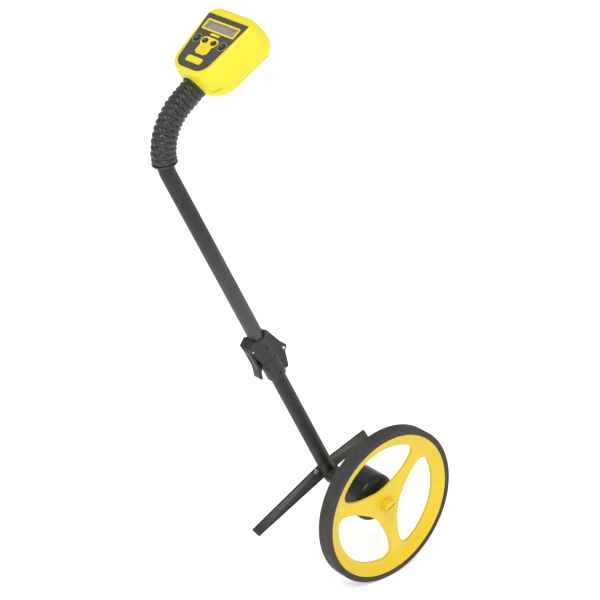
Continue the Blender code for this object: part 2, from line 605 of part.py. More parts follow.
def build_upper_socket(materials, parent):
    """The half that swings with the handle, with two outer cheeks and the latch's lugs."""
    low = FOLD_S + 0.4 * MM
    shell = socket_shell(SOCKET_RADIUS, low, SOCKET_TOP, 6.0 * MM)
    socket = make_object("upper_socket", shell, materials["black_plastic"], parent)
    tools = []
    cheek_inside = KNUCKLE_HALF_WIDTH + 0.5 * MM
    for side in (-1.0, 1.0):
        inside, outside = sorted((side * cheek_inside, side * SOCKET_HALF_WIDTH))
        outline = [(4.0 * MM, low + 0.3 * MM), (FOLD_P, low + 0.3 * MM),
                   (FOLD_P + 4.0 * MM, FOLD_S + 7.0 * MM), (17.5 * MM, SOCKET_TOP - 7.0 * MM),
                   (4.0 * MM, SOCKET_TOP - 7.0 * MM)]
        tools.append(cheek(outline, inside, outside, materials, parent))
        eye = rod(KNUCKLE_RADIUS, inside + 0.2 * MM, outside - 0.2 * MM, SMALL, "Y")
        tools.append(make_object("eye_tool", moved(eye, (FOLD_P, 0.0, FOLD_S)), materials["steel"], parent))
        inside, outside = sorted((side * (LATCH_HALF_WIDTH + 0.5 * MM), side * 14.0 * MM))
        outline = [(-10.0 * MM, LATCH_S - 8.0 * MM), (LATCH_P - 1.0 * MM, LATCH_S - 5.0 * MM),
                   (LATCH_P - 4.5 * MM, LATCH_S), (LATCH_P - 4.0 * MM, LATCH_S + 6.0 * MM),
                   (LATCH_P + 2.0 * MM, SOCKET_TOP - 2.0 * MM), (-10.0 * MM, SOCKET_TOP - 2.0 * MM)]
        tools.append(cheek(outline, inside, outside, materials, parent))
    combine(socket, tools, "UNION")
    cuts = []
    bore = rod(TUBE_RADIUS + GAP, FOLD_S - 20.0 * MM, SOCKET_TOP + 20.0 * MM, ROUND)
    cuts.append(make_object("bore_cutter", bore, materials["steel"], parent))
    hole = rod(FOLD_PIN_RADIUS + GAP, -30.0 * MM, 30.0 * MM, TINY, "Y")
    cuts.append(make_object("pin_cutter", moved(hole, (FOLD_P, 0.0, FOLD_S)), materials["steel"], parent))
    hole = rod(LATCH_PIN_RADIUS + GAP, -30.0 * MM, 30.0 * MM, TINY, "Y")
    cuts.append(make_object("pin_cutter", moved(hole, (LATCH_P, 0.0, LATCH_S)), materials["steel"], parent))
    screw = rod(2.4 * MM, -30.0 * MM, 0.0, TINY, "Y")
    screw = moved(screw, (0.0, 0.0, SOCKET_TOP - 24.0 * MM))
    cuts.append(make_object("screw_cutter", screw, materials["steel"], parent))
    combine(socket, cuts)


def build_latch(materials, parent):
    """The lever, drawn about its own pin.  Its nib sits under the lower half's catch."""
    half = LATCH_HALF_WIDTH
    thickness = 4.5 * MM
    reach = LATCH_S - FOLD_S
    outer = LATCH_P + 27.5 * MM - 5.0 * MM
    inner = outer + thickness
    outline = [
        (1.0 * MM, 4.0 * MM), (-3.0 * MM, 4.0 * MM), (outer - 0.5 * MM, 0.0),
        (outer, -reach + 2.0 * MM), (outer - 2.5 * MM, -reach - 12.0 * MM),
        (outer - 8.5 * MM, -reach - 28.0 * MM), (outer - 5.0 * MM, -reach - 34.0 * MM),
        (outer - 1.0 * MM, -reach - 32.0 * MM), (inner - 1.5 * MM, -reach - 16.0 * MM),
        (inner + 4.2 * MM, -reach - 9.5 * MM), (inner + 4.2 * MM, -reach - 6.6 * MM),
        (inner, -reach - 6.2 * MM), (inner, -reach + 10.0 * MM), (4.0 * MM, -4.0 * MM),
        (4.0 * MM, 1.0 * MM)]
    lever = make_object("latch_lever", prism(outline, -half, half, "Y"), materials["black_plastic"], parent)
    hole = rod(LATCH_PIN_RADIUS + GAP, -half - 1.0 * MM, half + 1.0 * MM, TINY, "Y")
    hole = make_object("pin_cutter", hole, materials["steel"], parent)
    combine(lever, [hole])


def build_joint_pins(materials, base_parent, handle_parent):
    pin = turned([
        (0.0, -19.5 * MM), (2.2 * MM, -19.5 * MM), (FOLD_PIN_RADIUS, -18.8 * MM),
        (FOLD_PIN_RADIUS, 18.8 * MM), (2.2 * MM, 19.5 * MM), (0.0, 19.5 * MM)], TINY, "Y")
    make_object("fold_pin", moved(pin, (FOLD_P, 0.0, FOLD_S)), materials["steel"], base_parent)
    pin = rod(LATCH_PIN_RADIUS, -14.6 * MM, 14.6 * MM, TINY, "Y", 0.5 * MM)
    make_object("latch_pin", moved(pin, (LATCH_P, 0.0, LATCH_S)), materials["steel"], handle_parent)
    for name, height, parent in (("lower_socket_screw", SOCKET_BOTTOM + 15.0 * MM, base_parent),
                                 ("upper_socket_screw", SOCKET_TOP - 24.0 * MM, handle_parent)):
        inner_end = -(TUBE_RADIUS + 0.9 * MM)
        screw = rod(2.1 * MM, -(SOCKET_RADIUS + 0.4 * MM), inner_end, TINY, "Y", 0.4 * MM)
        make_object(name, moved(screw, (0.0, 0.0, height)), materials["steel"], parent)


# ---- upper tube and grip -----------------------------------------------------------------
def path_stations(start, end, count):
    return [handle_point(start + (end - start) * i / count) for i in range(count + 1)]


def build_upper_tube(materials, parent):
    stations = [handle_point(FOLD_S + 6.0 * MM)]
    stations += path_stations(BEND_START, BEND_END, 10)
    stations.append(handle_point(TUBE_END))
    outer = sweep_rings(stations, lambda distance: TUBE_RADIUS, ROUND)
    inner = sweep_rings(stations, lambda distance: TUBE_RADIUS - TUBE_WALL, ROUND)
    tube = loft(outer + list(reversed(inner)), closed=True)
    make_object("upper_tube", tube, materials["tube_black"], parent)


def build_grip(materials, parent):
    flange = 4.0 * MM
    ribbed = GRIP_END - GRIP_START - flange
    pitch = ribbed / GRIP_RIBS

    def radius_at(distance):
        along = distance - GRIP_START - flange
        if along < 0.0:
            return GRIP_RADIUS
        phase = (along / pitch) % 1.0
        return GRIP_RADIUS - GRIP_GROOVE * (1.0 - math.sin(math.pi * phase)) ** 1.5

    steps = GRIP_RIBS * 3
    stations = [handle_point(GRIP_START)]
    stations += path_stations(GRIP_START + flange, GRIP_END, steps)
    outer = sweep_rings(stations, radius_at, SMALL)
    few = path_stations(GRIP_START, GRIP_END, 12)
    inner = sweep_rings(few, lambda distance: TUBE_RADIUS + 2.5 * GAP, SMALL)
    grip = loft(outer + list(reversed(inner)), closed=True)
    make_object("grip", grip, materials["grip_rubber"], parent)


# ---- head: x along the panel towards its top, y across, z out of the panel -----------------
def head_ring(depth, inset, steps=5):
    """The housing's outline at one depth, shrunk all round by an inset."""
    spread = min(depth, 50.0 * MM) / (50.0 * MM)
    crown = math.sin(math.pi * min(depth / HEAD_DEPTH, 1.0))
    half_top = (58.0 + 8.0 * spread) * MM - inset
    half_bottom = (52.0 + 5.0 * spread) * MM - inset
    top = (16.0 + 7.0 * crown) * MM - inset
    bottom = (-120.0 - 6.0 * crown) * MM + inset
    low_corner = (34.0 + 14.0 * spread) * MM - inset / 2.0
    top_corner = (20.0 + 6.0 * crown) * MM - inset / 2.0
    outline = rounded_box(bottom, top, half_bottom, half_top, low_corner, top_corner, steps)
    return [Vector((x, y, -depth)) for x, y in outline]


def panel_outline(grow=0.0, steps=4):
    return rounded_box(-PANEL_LENGTH - grow, grow, PANEL_HALF_BOTTOM + grow, PANEL_HALF_TOP + grow,
                       24.0 * MM + grow, 2.5 * MM + grow, steps)


def build_head_shell(materials, parent):
    profile = [(0.0, 5.0), (1.2, 2.4), (4.0, 0.7), (9.0, 0.0), (28.0, 0.0), (46.0, 0.0), (56.0, 0.8),
               (62.0, 2.5), (HEAD_SEAM / MM, 4.4)]
    outer = [head_ring(depth * MM, inset * MM) for depth, inset in profile]
    hollow = [(HEAD_WALL / MM, 7.0), (9.0, 3.2), (28.0, 3.0), (46.0, 3.1), (57.0, 4.2),
              (HEAD_SEAM / MM, 7.4)]
    inner = [head_ring(depth * MM, inset * MM) for depth, inset in hollow]
    bm = bmesh.new()
    loops = [[bm.verts.new(point) for point in points] for points in outer + list(reversed(inner))]
    for lower, upper in zip(loops, loops[1:]):
        for i in range(len(lower)):
            j = (i + 1) % len(lower)
            bm.faces.new((lower[i], lower[j], upper[j], upper[i]))
    bm.faces.new(list(reversed(loops[0])))
    bm.faces.new(loops[-1])
    shell = make_object("head_shell", bm, materials["head_yellow"], parent)

    cuts = []
    recess = prism(panel_outline(GAP), -PANEL_THICKNESS - 0.1 * MM, 2.0 * MM)
    cuts.append(make_object("recess_cutter", recess, materials["steel"], parent))
    display = rounded_box(-33.5 * MM, -11.5 * MM, 41.5 * MM, 41.5 * MM, 3.0 * MM, 3.0 * MM, 2)
    cuts.append(make_object("display_cutter", prism(display, -9.0 * MM, 2.0 * MM), materials["steel"],
                            parent))
    for x, y, radius_x, radius_y in key_places().values():
        hole = prism(ellipse(radius_x + 0.6 * MM, radius_y + 0.6 * MM, TINY), -9.0 * MM, 2.0 * MM)
        cuts.append(make_object("key_cutter", moved(hole, (x, y, 0.0)), materials["steel"], parent))
    entry = rod(GRIP_RADIUS + 0.6 * MM, -150.0 * MM, -100.0 * MM, SMALL, "X")
    entry = moved(entry, (0.0, 0.0, -PANEL_ABOVE_TUBE))
    cuts.append(make_object("entry_cutter", entry, materials["steel"], parent))
    combine(shell, cuts)


def build_head_back(materials, parent):
    profile = [(HEAD_SEAM / MM + 0.3, 4.6), (69.0, 6.9), (71.0, 9.4), (HEAD_DEPTH / MM, 12.0)]
    outer = [head_ring(depth * MM, inset * MM) for depth, inset in profile]
    back = make_object("head_back", loft(outer), materials["head_yellow"], parent)
    low, high, half = battery_bay()
    opening = rounded_box(low, high, half, half, 5.0 * MM, 5.0 * MM, 3)
    opening = prism(opening, -HEAD_DEPTH - 2.0 * MM, -HEAD_SEAM + 2.0 * MM)
    cuts = [make_object("bay_cutter", opening, materials["steel"], parent)]
    for x, y in head_screw_places():
        hole = moved(rod(2.0 * MM, -HEAD_DEPTH - 1.0 * MM, -HEAD_SEAM + 1.0 * MM, TINY), (x, y, 0.0))
        cuts.append(make_object("hole_cutter", hole, materials["steel"], parent))
    combine(back, cuts)
    for i, (x, y) in enumerate(head_screw_places()):
        screw = turned([
            (0.0, -HEAD_SEAM + 2.0 * MM), (1.6 * MM, -HEAD_SEAM + 2.0 * MM),
            (1.6 * MM, -HEAD_DEPTH - GAP), (3.4 * MM, -HEAD_DEPTH - GAP),
            (2.8 * MM, -HEAD_DEPTH - 1.6 * MM), (0.0, -HEAD_DEPTH - 1.6 * MM)], TINY)
        make_object("head_screw_%d" % (i + 1), moved(screw, (x, y, 0.0)), materials["steel"], parent)


def battery_bay():
    """The back opening: its ends along x, and its half width."""
    return -62.0 * MM, -24.0 * MM, 31.0 * MM


def head_screw_places():
    return [(x, y) for x, half in ((-88.0 * MM, 34.0 * MM), (-7.0 * MM, 40.0 * MM)) for y in (-half, half)]


def build_battery_door(materials, parent):
    low, high, half = battery_bay()
    outline = rounded_box(low + 0.4 * MM, high - 0.4 * MM, half - 0.4 * MM, half - 0.4 * MM, 4.7 * MM,
                          4.7 * MM, 3)
    door = prism(outline, -HEAD_DEPTH - 0.8 * MM, -HEAD_SEAM - GAP)
    make_object("battery_door", door, materials["head_yellow"], parent)


def build_batteries(materials, parent):
    low, high, half = battery_bay()
    cell_radius = 7.2 * MM
    for i, x in enumerate((low + 10.0 * MM, high - 10.0 * MM)):
        cell = turned([
            (0.0, -24.5 * MM), (cell_radius - 0.6 * MM, -24.5 * MM), (cell_radius, -23.9 * MM),
            (cell_radius, 23.4 * MM), (cell_radius - 0.8 * MM, 24.2 * MM), (2.7 * MM, 24.2 * MM),
            (2.7 * MM, 25.4 * MM), (0.0, 25.4 * MM)], SMALL, "Y")
        cell = moved(cell, (x, 0.0, -HEAD_SEAM + 9.0 * MM))
        make_object("battery_cell_%d" % (i + 1), cell, materials["cell"], parent)
    for name, y in (("battery_contact_left", -27.2 * MM), ("battery_contact_right", 26.2 * MM)):
        contact = block((low + 4.0 * MM, y, -HEAD_SEAM + 4.0 * MM),
                        (high - 4.0 * MM, y + 1.0 * MM, -HEAD_SEAM + 14.0 * MM))
        make_object(name, contact, materials["brass"], parent)


def build_battery_tray(materials, parent):
    """The open box that holds the cells, fixed behind the board."""
    low, high, half = battery_bay()
    floor = -HEAD_SEAM + 19.0 * MM
    tray = block((low, -half, -HEAD_SEAM + 1.0 * MM), (high, half, floor))
    tray = make_object("battery_tray", tray, materials["black_plastic"], parent)
    room = block((low + 1.8 * MM, -half + 1.8 * MM, -HEAD_SEAM - 5.0 * MM),
                 (high - 1.8 * MM, half - 1.8 * MM, floor - 1.8 * MM))
    combine(tray, [make_object("room_cutter", room, materials["steel"], parent)])


def build_tube_clamp(materials, parent):
    """The collar inside the head that holds the tube's end."""
    collar = ring(TUBE_RADIUS + GAP, 20.0 * MM, -112.0 * MM, -96.0 * MM, ROUND, "X")
    collar = moved(collar, (0.0, 0.0, -PANEL_ABOVE_TUBE))
    make_object("tube_clamp", collar, materials["black_plastic"], parent)


def ellipse(radius_x, radius_y, sides):
    return [(radius_x * math.cos(math.tau * i / sides), radius_y * math.sin(math.tau * i / sides))
            for i in range(sides)]


def key_places():
    """Each key: x, y, half length along x and half width along y.  -Y is the head's right."""
    row = -53.5 * MM
    return {
        "key_power": (row, 33.6 * MM, 6.2 * MM, 6.2 * MM),
        "key_reset": (row, -33.6 * MM, 6.2 * MM, 6.2 * MM),
        "key_store": (row, 11.2 * MM, 4.8 * MM, 6.6 * MM),
        "key_recall": (row, -11.2 * MM, 4.8 * MM, 6.6 * MM),
    }


def build_panel(materials, parent):
    top = -GAP
    overlay = prism(panel_outline(), -PANEL_THICKNESS + 0.2 * MM, top + 0.2 * MM)
    overlay = make_object("panel_overlay", overlay, materials["panel_grey"], parent)
    cuts = []
    display = rounded_box(-33.2 * MM, -11.8 * MM, 41.2 * MM, 41.2 * MM, 3.0 * MM, 3.0 * MM, 2)
    cuts.append(make_object("display_cutter", prism(display, -3.0 * MM, 3.0 * MM), materials["steel"],
                            parent))
    for x, y, radius_x, radius_y in key_places().values():
        hole = prism(ellipse(radius_x + 0.6 * MM, radius_y + 0.6 * MM, TINY), -3.0 * MM, 3.0 * MM)
        cuts.append(make_object("key_cutter", moved(hole, (x, y, 0.0)), materials["steel"], parent))
    combine(overlay, cuts)

    frame = rounded_box(-32.9 * MM, -12.1 * MM, 40.9 * MM, 40.9 * MM, 3.0 * MM, 3.0 * MM, 2)
    window = rounded_box(-30.0 * MM, -15.4 * MM, 38.2 * MM, 38.2 * MM, 1.0 * MM, 1.0 * MM, 2)
    frame = make_object("display_frame", prism(frame, -3.2 * MM, 1.0 * MM), materials["head_yellow"], parent)
    room = make_object("window_cutter", prism(window, -6.0 * MM, 6.0 * MM), materials["steel"], parent)
    combine(frame, [room])
    lens = rounded_box(-29.7 * MM, -15.7 * MM, 37.9 * MM, 37.9 * MM, 1.0 * MM, 1.0 * MM, 2)
    make_object("display_lens", prism(lens, -1.6 * MM, -0.4 * MM), materials["clear"], parent)
    module = block((-33.0 * MM, -39.0 * MM, -8.5 * MM), (-12.0 * MM, 39.0 * MM, -3.6 * MM))
    make_object("display_module", module, materials["display"], parent)
    plate = rounded_box(-101.0 * MM, -88.5 * MM, 19.5 * MM, 19.5 * MM, 4.0 * MM, 4.0 * MM, 3)
    make_object("name_plate", prism(plate, GAP, 1.1 * MM), materials["head_yellow"], parent)
    board = rounded_box(-88.0 * MM, -2.0 * MM, 44.0 * MM, 50.0 * MM, 6.0 * MM, 6.0 * MM, 2)
    make_object("main_board", prism(board, -11.2 * MM, -9.6 * MM), materials["board"], parent)


def key_plate_outline():
    """The goblet-shaped surround of the two middle keys."""
    half = [(-43.0, 10.5), (-45.3, 18.6), (-51.5, 21.6), (-58.5, 19.8), (-64.0, 14.8), (-70.5, 15.8),
            (-77.0, 15.4), (-81.5, 9.5)]
    right = [(x * MM, y * MM) for x, y in half]
    left = [(x, -y) for x, y in reversed(right)]
    return right + left


def build_key_plate(materials, parent):
    plate = prism(key_plate_outline(), GAP, 0.9 * MM)
    plate = make_object("key_plate", plate, materials["head_yellow"], parent)
    cuts = []
    for name in ("key_store", "key_recall"):
        x, y, radius_x, radius_y = key_places()[name]
        hole = prism(ellipse(radius_x + 0.6 * MM, radius_y + 0.6 * MM, TINY), -3.0 * MM, 3.0 * MM)
        cuts.append(make_object("key_cutter", moved(hole, (x, y, 0.0)), materials["steel"], parent))
    combine(plate, cuts)


def build_keys(materials, parent):
    for name, (x, y, radius_x, radius_y) in key_places().items():
        base = make_empty(name + "_slide", (x, y, 0.0), parent)
        shapes = []
        for height, scale in ((-7.2, 1.0), (1.5, 1.0), (2.4, 0.8)):
            outline = ellipse(radius_x * scale, radius_y * scale, TINY)
            shapes.append([Vector((px, py, height * MM)) for px, py in outline])
        make_object(name, loft(shapes), materials["button_black"], base)


def build_head(materials, parent):
    build_head_shell(materials, parent)
    build_head_back(materials, parent)
    build_battery_tray(materials, parent)
    build_batteries(materials, parent)
    build_tube_clamp(materials, parent)
    build_panel(materials, parent)
    build_key_plate(materials, parent)
    build_keys(materials, parent)


# ---- assembly ------------------------------------------------------------------------------
def stand_on_origin(root):
    """Move everything so the origin is under the middle of the whole object's box."""
    bpy.context.view_layer.update()
    corners = []
    for item in bpy.data.objects:
        if item.type == "MESH":
            corners += [item.matrix_world @ vertex.co for vertex in item.data.vertices]
    for axis in range(3):
        low = min(corner[axis] for corner in corners)
        high = max(corner[axis] for corner in corners)
        root.location[axis] -= low if axis == 2 else (low + high) / 2.0


def main():
    clear_scene()
    materials = make_materials()
    root = make_empty("measuring_wheel", (0.0, 0.0, 0.0))
    hub = make_empty("hub_centre", (0.0, 0.0, WHEEL_RADIUS), root)
    build_wheel(materials, make_empty("wheel_axis", (0.0, 0.0, 0.0), hub))
    build_drum(materials, hub)
    build_sensor(materials, hub)
    build_pivot(materials, hub)
    build_stand(materials, make_empty("stand_axis", (0.0, TUBE_Y, 0.0), hub))

    tube_frame = make_empty("tube_frame", (0.0, TUBE_Y, 0.0), hub, -TUBE_LEAN)
    fold_axis = make_empty("fold_axis", (FOLD_P, 0.0, FOLD_S), tube_frame)
    handle_frame = make_empty("handle_frame", (-FOLD_P, 0.0, -FOLD_S), fold_axis)
    build_lower_tube(materials, tube_frame)
    build_lower_socket(materials, tube_frame)
    build_upper_socket(materials, handle_frame)
    build_joint_pins(materials, tube_frame, handle_frame)
    build_latch(materials, make_empty("latch_axis", (LATCH_P, 0.0, LATCH_S), handle_frame))
    build_upper_tube(materials, handle_frame)
    build_grip(materials, handle_frame)

    end_x, end_z, heading, _ = handle_point(BEND_END)
    tube_end = make_empty("tube_end", (end_x, 0.0, end_z), handle_frame, -heading)
    head_frame = make_empty("head_frame", (PANEL_TOP, 0.0, PANEL_ABOVE_TUBE), tube_end)
    build_head(materials, head_frame)
    build_battery_door(materials, make_empty("door_slide", (0.0, 0.0, 0.0), head_frame))
    stand_on_origin(root)


main()
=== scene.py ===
"""The looks of the digital measuring wheel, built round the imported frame.

Sizes are in metres.  The wheel's pieces are drawn about the hub, the handle's in the tube's own
frame (Z up the tube, X forwards) and the head's in the panel's frame (X towards the panel's top,
Z out of the panel).  Each piece is then put in the world and rides on its body.
"""
import json
import math

import bmesh
import bpy
from mathutils import Matrix, Vector


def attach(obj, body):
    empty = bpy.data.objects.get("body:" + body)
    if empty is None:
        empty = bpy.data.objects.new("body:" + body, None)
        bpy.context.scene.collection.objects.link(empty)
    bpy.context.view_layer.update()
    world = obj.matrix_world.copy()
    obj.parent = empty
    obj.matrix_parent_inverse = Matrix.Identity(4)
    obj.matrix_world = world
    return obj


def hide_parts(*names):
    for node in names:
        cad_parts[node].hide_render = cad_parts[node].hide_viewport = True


MM = 0.001
GAP = 0.3 * MM
QUARTER = math.pi / 2.0             # a quarter turn

# ---- wheel -------------------------------------------------------------------------------
WHEEL_RADIUS = 159.15 * MM
TYRE_WIDTH = 30.0 * MM
TYRE_DEPTH = 11.4 * MM
RIM_OUTER = WHEEL_RADIUS - TYRE_DEPTH - GAP
RIM_HALF = 13.5 * MM
WEB_FRONT = -3.0 * MM
WEB_BACK = 4.0 * MM
WEB_EDGE = 1.4 * MM                 # rounding of the spokes' edges
AXLE_RADIUS = 6.0 * MM
AXLE_BORE = AXLE_RADIUS + GAP
DRUM_BORE = AXLE_RADIUS + 1.0 * MM
HUB_RADIUS = 22.0 * MM
HUB_BACK = 14.0 * MM
SPOKE_COUNT = 3
FIRST_SPOKE = math.radians(46.0)
CAP_RADIUS = 13.5 * MM
CAP_FACE = -17.5 * MM
SLOT_ANGLE = math.radians(-25.0)

# ---- drum and tubes ------------------------------------------------------------------------
DRUM_RADIUS = 48.0 * MM
DRUM_FRONT = 20.5 * MM
DRUM_FILLET = 14.0 * MM
DRUM_BACK = 100.0 * MM
COVER_BACK = 105.3 * MM
COVER_SCREWS = 3
COVER_SCREW_CIRCLE = 40.0 * MM
COVER_RIBS = 6
NECK_RADIUS = 18.0 * MM
TUBE_RADIUS = 15.0 * MM
TUBE_WALL = 1.5 * MM
TUBE_FIT = 0.2 * MM                 # play round the tubes in the sockets and in the grip
TUBE_LEAN = math.radians(27.2)
TUBE_BOTTOM = -15.0 * MM
STAND_FRONT_Y = 16.8 * MM
STAND_THICKNESS = 4.0 * MM
STAND_TILT = math.radians(21.9)
STAND_REAR = -196.0 * MM
STAND_FORE = 119.0 * MM
STAND_RIVET_X = -17.7 * MM
STAND_RIVET_Z = 8.6 * MM

# ---- folding joint -------------------------------------------------------------------------
FOLD_P = 30.0 * MM
FOLD_S = 351.0 * MM
SOCKET_RADIUS = 19.5 * MM
SOCKET_TOP = 405.0 * MM
SOCKET_BOTTOM = 297.0 * MM
LOWER_SCREW_S = SOCKET_BOTTOM + 15.0 * MM
UPPER_SCREW_S = SOCKET_TOP - 24.0 * MM
SOCKET_HALF_WIDTH = 18.0 * MM
KNUCKLE_HALF_WIDTH = 9.5 * MM
KNUCKLE_RADIUS = 8.0 * MM
PIN_RADIUS = 3.0 * MM
LATCH_P = -27.5 * MM
LATCH_S = 393.0 * MM
LATCH_HALF_WIDTH = 9.0 * MM
LATCH_PIN_RADIUS = 2.0 * MM
CATCH_P = -23.2 * MM

# ---- bend, grip and head -------------------------------------------------------------------
BEND_START = 819.0 * MM
BEND_RADIUS = 100.0 * MM
BEND_ANGLE = math.radians(81.5)
BEND_END = BEND_START + BEND_RADIUS * BEND_ANGLE
GRIP_START = BEND_START + BEND_RADIUS * math.radians(15.5)
GRIP_END = BEND_END + 39.0 * MM
TUBE_END = BEND_END + 62.0 * MM
GRIP_RADIUS = 23.0 * MM
GRIP_GROOVE = 2.7 * MM
GRIP_RIBS = 15
GRIP_SCALES = 9                     # raised pads round each rib
GRIP_FLANGE = 4.0 * MM
HEAD_DEPTH = 72.0 * MM
HEAD_SEAM = 66.0 * MM
HEAD_SCREW_PAIRS = ((-88.0 * MM, 34.0 * MM), (-7.0 * MM, 40.0 * MM))
BAY_LOW = -62.0 * MM                # battery bay, measured like the panel
BAY_HIGH = -24.0 * MM
BAY_HALF = 31.0 * MM
BAY_CORNER = 5.0 * MM
KEY_ROW = -53.5 * MM
ROUND_KEY = (6.2 * MM, 6.2 * MM)
OVAL_KEY = (4.8 * MM, 6.6 * MM)
PANEL_ABOVE_TUBE = 39.0 * MM
PANEL_TOP = 158.7 * MM
PANEL_LENGTH = 113.0 * MM
PANEL_HALF_TOP = 53.0 * MM
PANEL_HALF_BOTTOM = 41.0 * MM
PANEL_THICKNESS = 1.0 * MM

# ---- camera --------------------------------------------------------------------------------
CAMERA_AZIMUTH = math.radians(-40.9)
CAMERA_ELEVATION = math.radians(25.53)
CAMERA_DISTANCE = 4.0315
CAMERA_SIDE = -0.16347
CAMERA_RISE = 0.39090
CAMERA_LENS = 126.0

SCREW_SEAT_RADIUS = 4.4 * MM
PIVOT_HOLE_RADIUS = 4.6 * MM
FINE = 256                          # sides of the wheel's round pieces
ROUND = 96
SMALL = 40


# ---- mesh helpers --------------------------------------------------------------------------
def turned(profile, sides, axis="Z"):
    """Spin a closed profile of (radius, height) points once round an axis."""
    bm = bmesh.new()
    place = {
        "Z": lambda r, h: Vector((r, 0.0, h)),
        "Y": lambda r, h: Vector((r, h, 0.0)),
        "X": lambda r, h: Vector((h, 0.0, r)),
    }[axis]
    direction = {"Z": (0, 0, 1), "Y": (0, 1, 0), "X": (1, 0, 0)}[axis]
    verts = [bm.verts.new(place(r, h)) for r, h in profile]
    edges = []
    for i, vert in enumerate(verts):
        following = (i + 1) % len(verts)
        if profile[i][0] > 0.0 or profile[following][0] > 0.0:
            edges.append(bm.edges.new((vert, verts[following])))
    bmesh.ops.spin(bm, geom=verts + edges, cent=(0, 0, 0), axis=direction, angle=math.tau,
                   steps=sides, use_merge=True, use_duplicate=False)
    bmesh.ops.remove_doubles(bm, verts=bm.verts, dist=1e-6)
    return bm


def rod(radius, low, high, sides, axis="Z"):
    """A plain cylinder between two places on an axis."""
    return turned([(0.0, low), (radius, low), (radius, high), (0.0, high)], sides, axis)


def round_rod(radius, low, high, fillet, steps):
    """A cylinder along Y whose rims are rounded."""
    profile = [(0.0, low, 0.0), (radius, low, fillet), (radius, high, fillet), (0.0, high, 0.0)]
    return turned(filleted(profile, steps), SMALL, "Y")


def filleted(points, steps=5):
    """Round the corners of a closed outline whose points are (x, y, radius)."""
    result = []
    count = len(points)
    for i, (x, y, radius) in enumerate(points):
        here = Vector((x, y))
        back = Vector(points[i - 1][:2]) - here
        ahead = Vector(points[(i + 1) % count][:2]) - here
        if radius <= 0.0:
            result.append((x, y))
            continue
        half = back.angle(ahead) / 2.0
        cut = min(radius / math.tan(half), 0.49 * back.length, 0.49 * ahead.length)
        centre = here + (back.normalized() + ahead.normalized()).normalized() * (cut / math.cos(half))
        start = here + back.normalized() * cut - centre
        end = here + ahead.normalized() * cut - centre
        first = math.atan2(start.y, start.x)
        sweep = (math.atan2(end.y, end.x) - first + math.pi) % math.tau - math.pi
        for k in range(steps + 1):
            angle = first + sweep * k / steps
            result.append((centre.x + start.length * math.cos(angle),
                           centre.y + start.length * math.sin(angle)))
    return result


def prism(outline, low, high, axis="Z"):
    """Extrude a flat outline.  Along Z its points are (x, y), and along Y they are (x, z)."""
    bm = bmesh.new()
    if axis == "Z":
        verts = [bm.verts.new((x, y, low)) for x, y in outline]
        step = Vector((0.0, 0.0, high - low))
    else:
        verts = [bm.verts.new((x, low, z)) for x, z in outline]
        step = Vector((0.0, high - low, 0.0))
    face = bm.faces.new(verts)
    extruded = bmesh.ops.extrude_face_region(bm, geom=[face])["geom"]
    bmesh.ops.translate(bm, vec=step, verts=[v for v in extruded if isinstance(v, bmesh.types.BMVert)])
    return bm


def block(low, high):
    """A box between two corners."""
    size = Vector(high) - Vector(low)
    middle = (Vector(high) + Vector(low)) / 2.0
    bm = bmesh.new()
    matrix = Matrix.Translation(middle) @ Matrix.Diagonal((*size, 1.0))
    bmesh.ops.create_cube(bm, size=1.0, matrix=matrix)
    return bm


def shifted(bm, offset=(0.0, 0.0, 0.0), turn_y=0.0):
    """Turn a mesh about Y, then move it."""
    matrix = Matrix.Translation(offset) @ Matrix.Rotation(turn_y, 4, "Y")
    bmesh.ops.transform(bm, matrix=matrix, verts=bm.verts)
    return bm


def loft(rings, closed=False):
    """Skin a list of rings that have equal numbers of points, with caps or joined end to end."""
    bm = bmesh.new()
    loops = [[bm.verts.new(point) for point in points] for points in rings]
    pairs = list(zip(loops, loops[1:]))
    if closed:
        pairs.append((loops[-1], loops[0]))
    for lower, upper in pairs:
        for i in range(len(lower)):
            j = (i + 1) % len(lower)
            bm.faces.new((lower[i], lower[j], upper[j], upper[i]))
    if not closed:
        bm.faces.new(list(reversed(loops[0])))
        bm.faces.new(loops[-1])
    return bm


def arc(centre, radius, start, end, steps):
    """Points along a circle between two angles."""
    points = []
    for i in range(steps + 1):
        angle = start + (end - start) * i / steps
        points.append((centre[0] + radius * math.cos(angle), centre[1] + radius * math.sin(angle)))
    return points


def rounded_box(low_x, high_x, half_low, half_high, round_low, round_high, steps=8):
    """A symmetric outline in x and y whose width may differ between its two ends."""
    outline = arc((high_x - round_high, half_high - round_high), round_high, 0.0, QUARTER, steps)
    outline += arc((low_x + round_low, half_low - round_low), round_low, QUARTER, 2 * QUARTER, steps)
    outline += arc((low_x + round_low, round_low - half_low), round_low, 2 * QUARTER, 3 * QUARTER, steps)
    outline += arc((high_x - round_high, round_high - half_high), round_high, 3 * QUARTER, 4 * QUARTER,
                   steps)
    return outline


def box_mm(low_x, high_x, half, corner):
    """The plain kind of rounded box, straight sided and given in millimetres."""
    return rounded_box(low_x * MM, high_x * MM, half * MM, half * MM, corner * MM, corner * MM)


def ellipse(radius_x, radius_y, sides):
    """A closed outline, a circle where both radii are the same."""
    return [(radius_x * math.cos(math.tau * i / sides), radius_y * math.sin(math.tau * i / sides))
            for i in range(sides)]


def slot_outline(half, radius, steps):
    """An oblong with round ends."""
    outline = arc((half, 0.0), radius, -QUARTER, QUARTER, steps)
    return outline + arc((-half, 0.0), radius, QUARTER, 3.0 * QUARTER, steps)


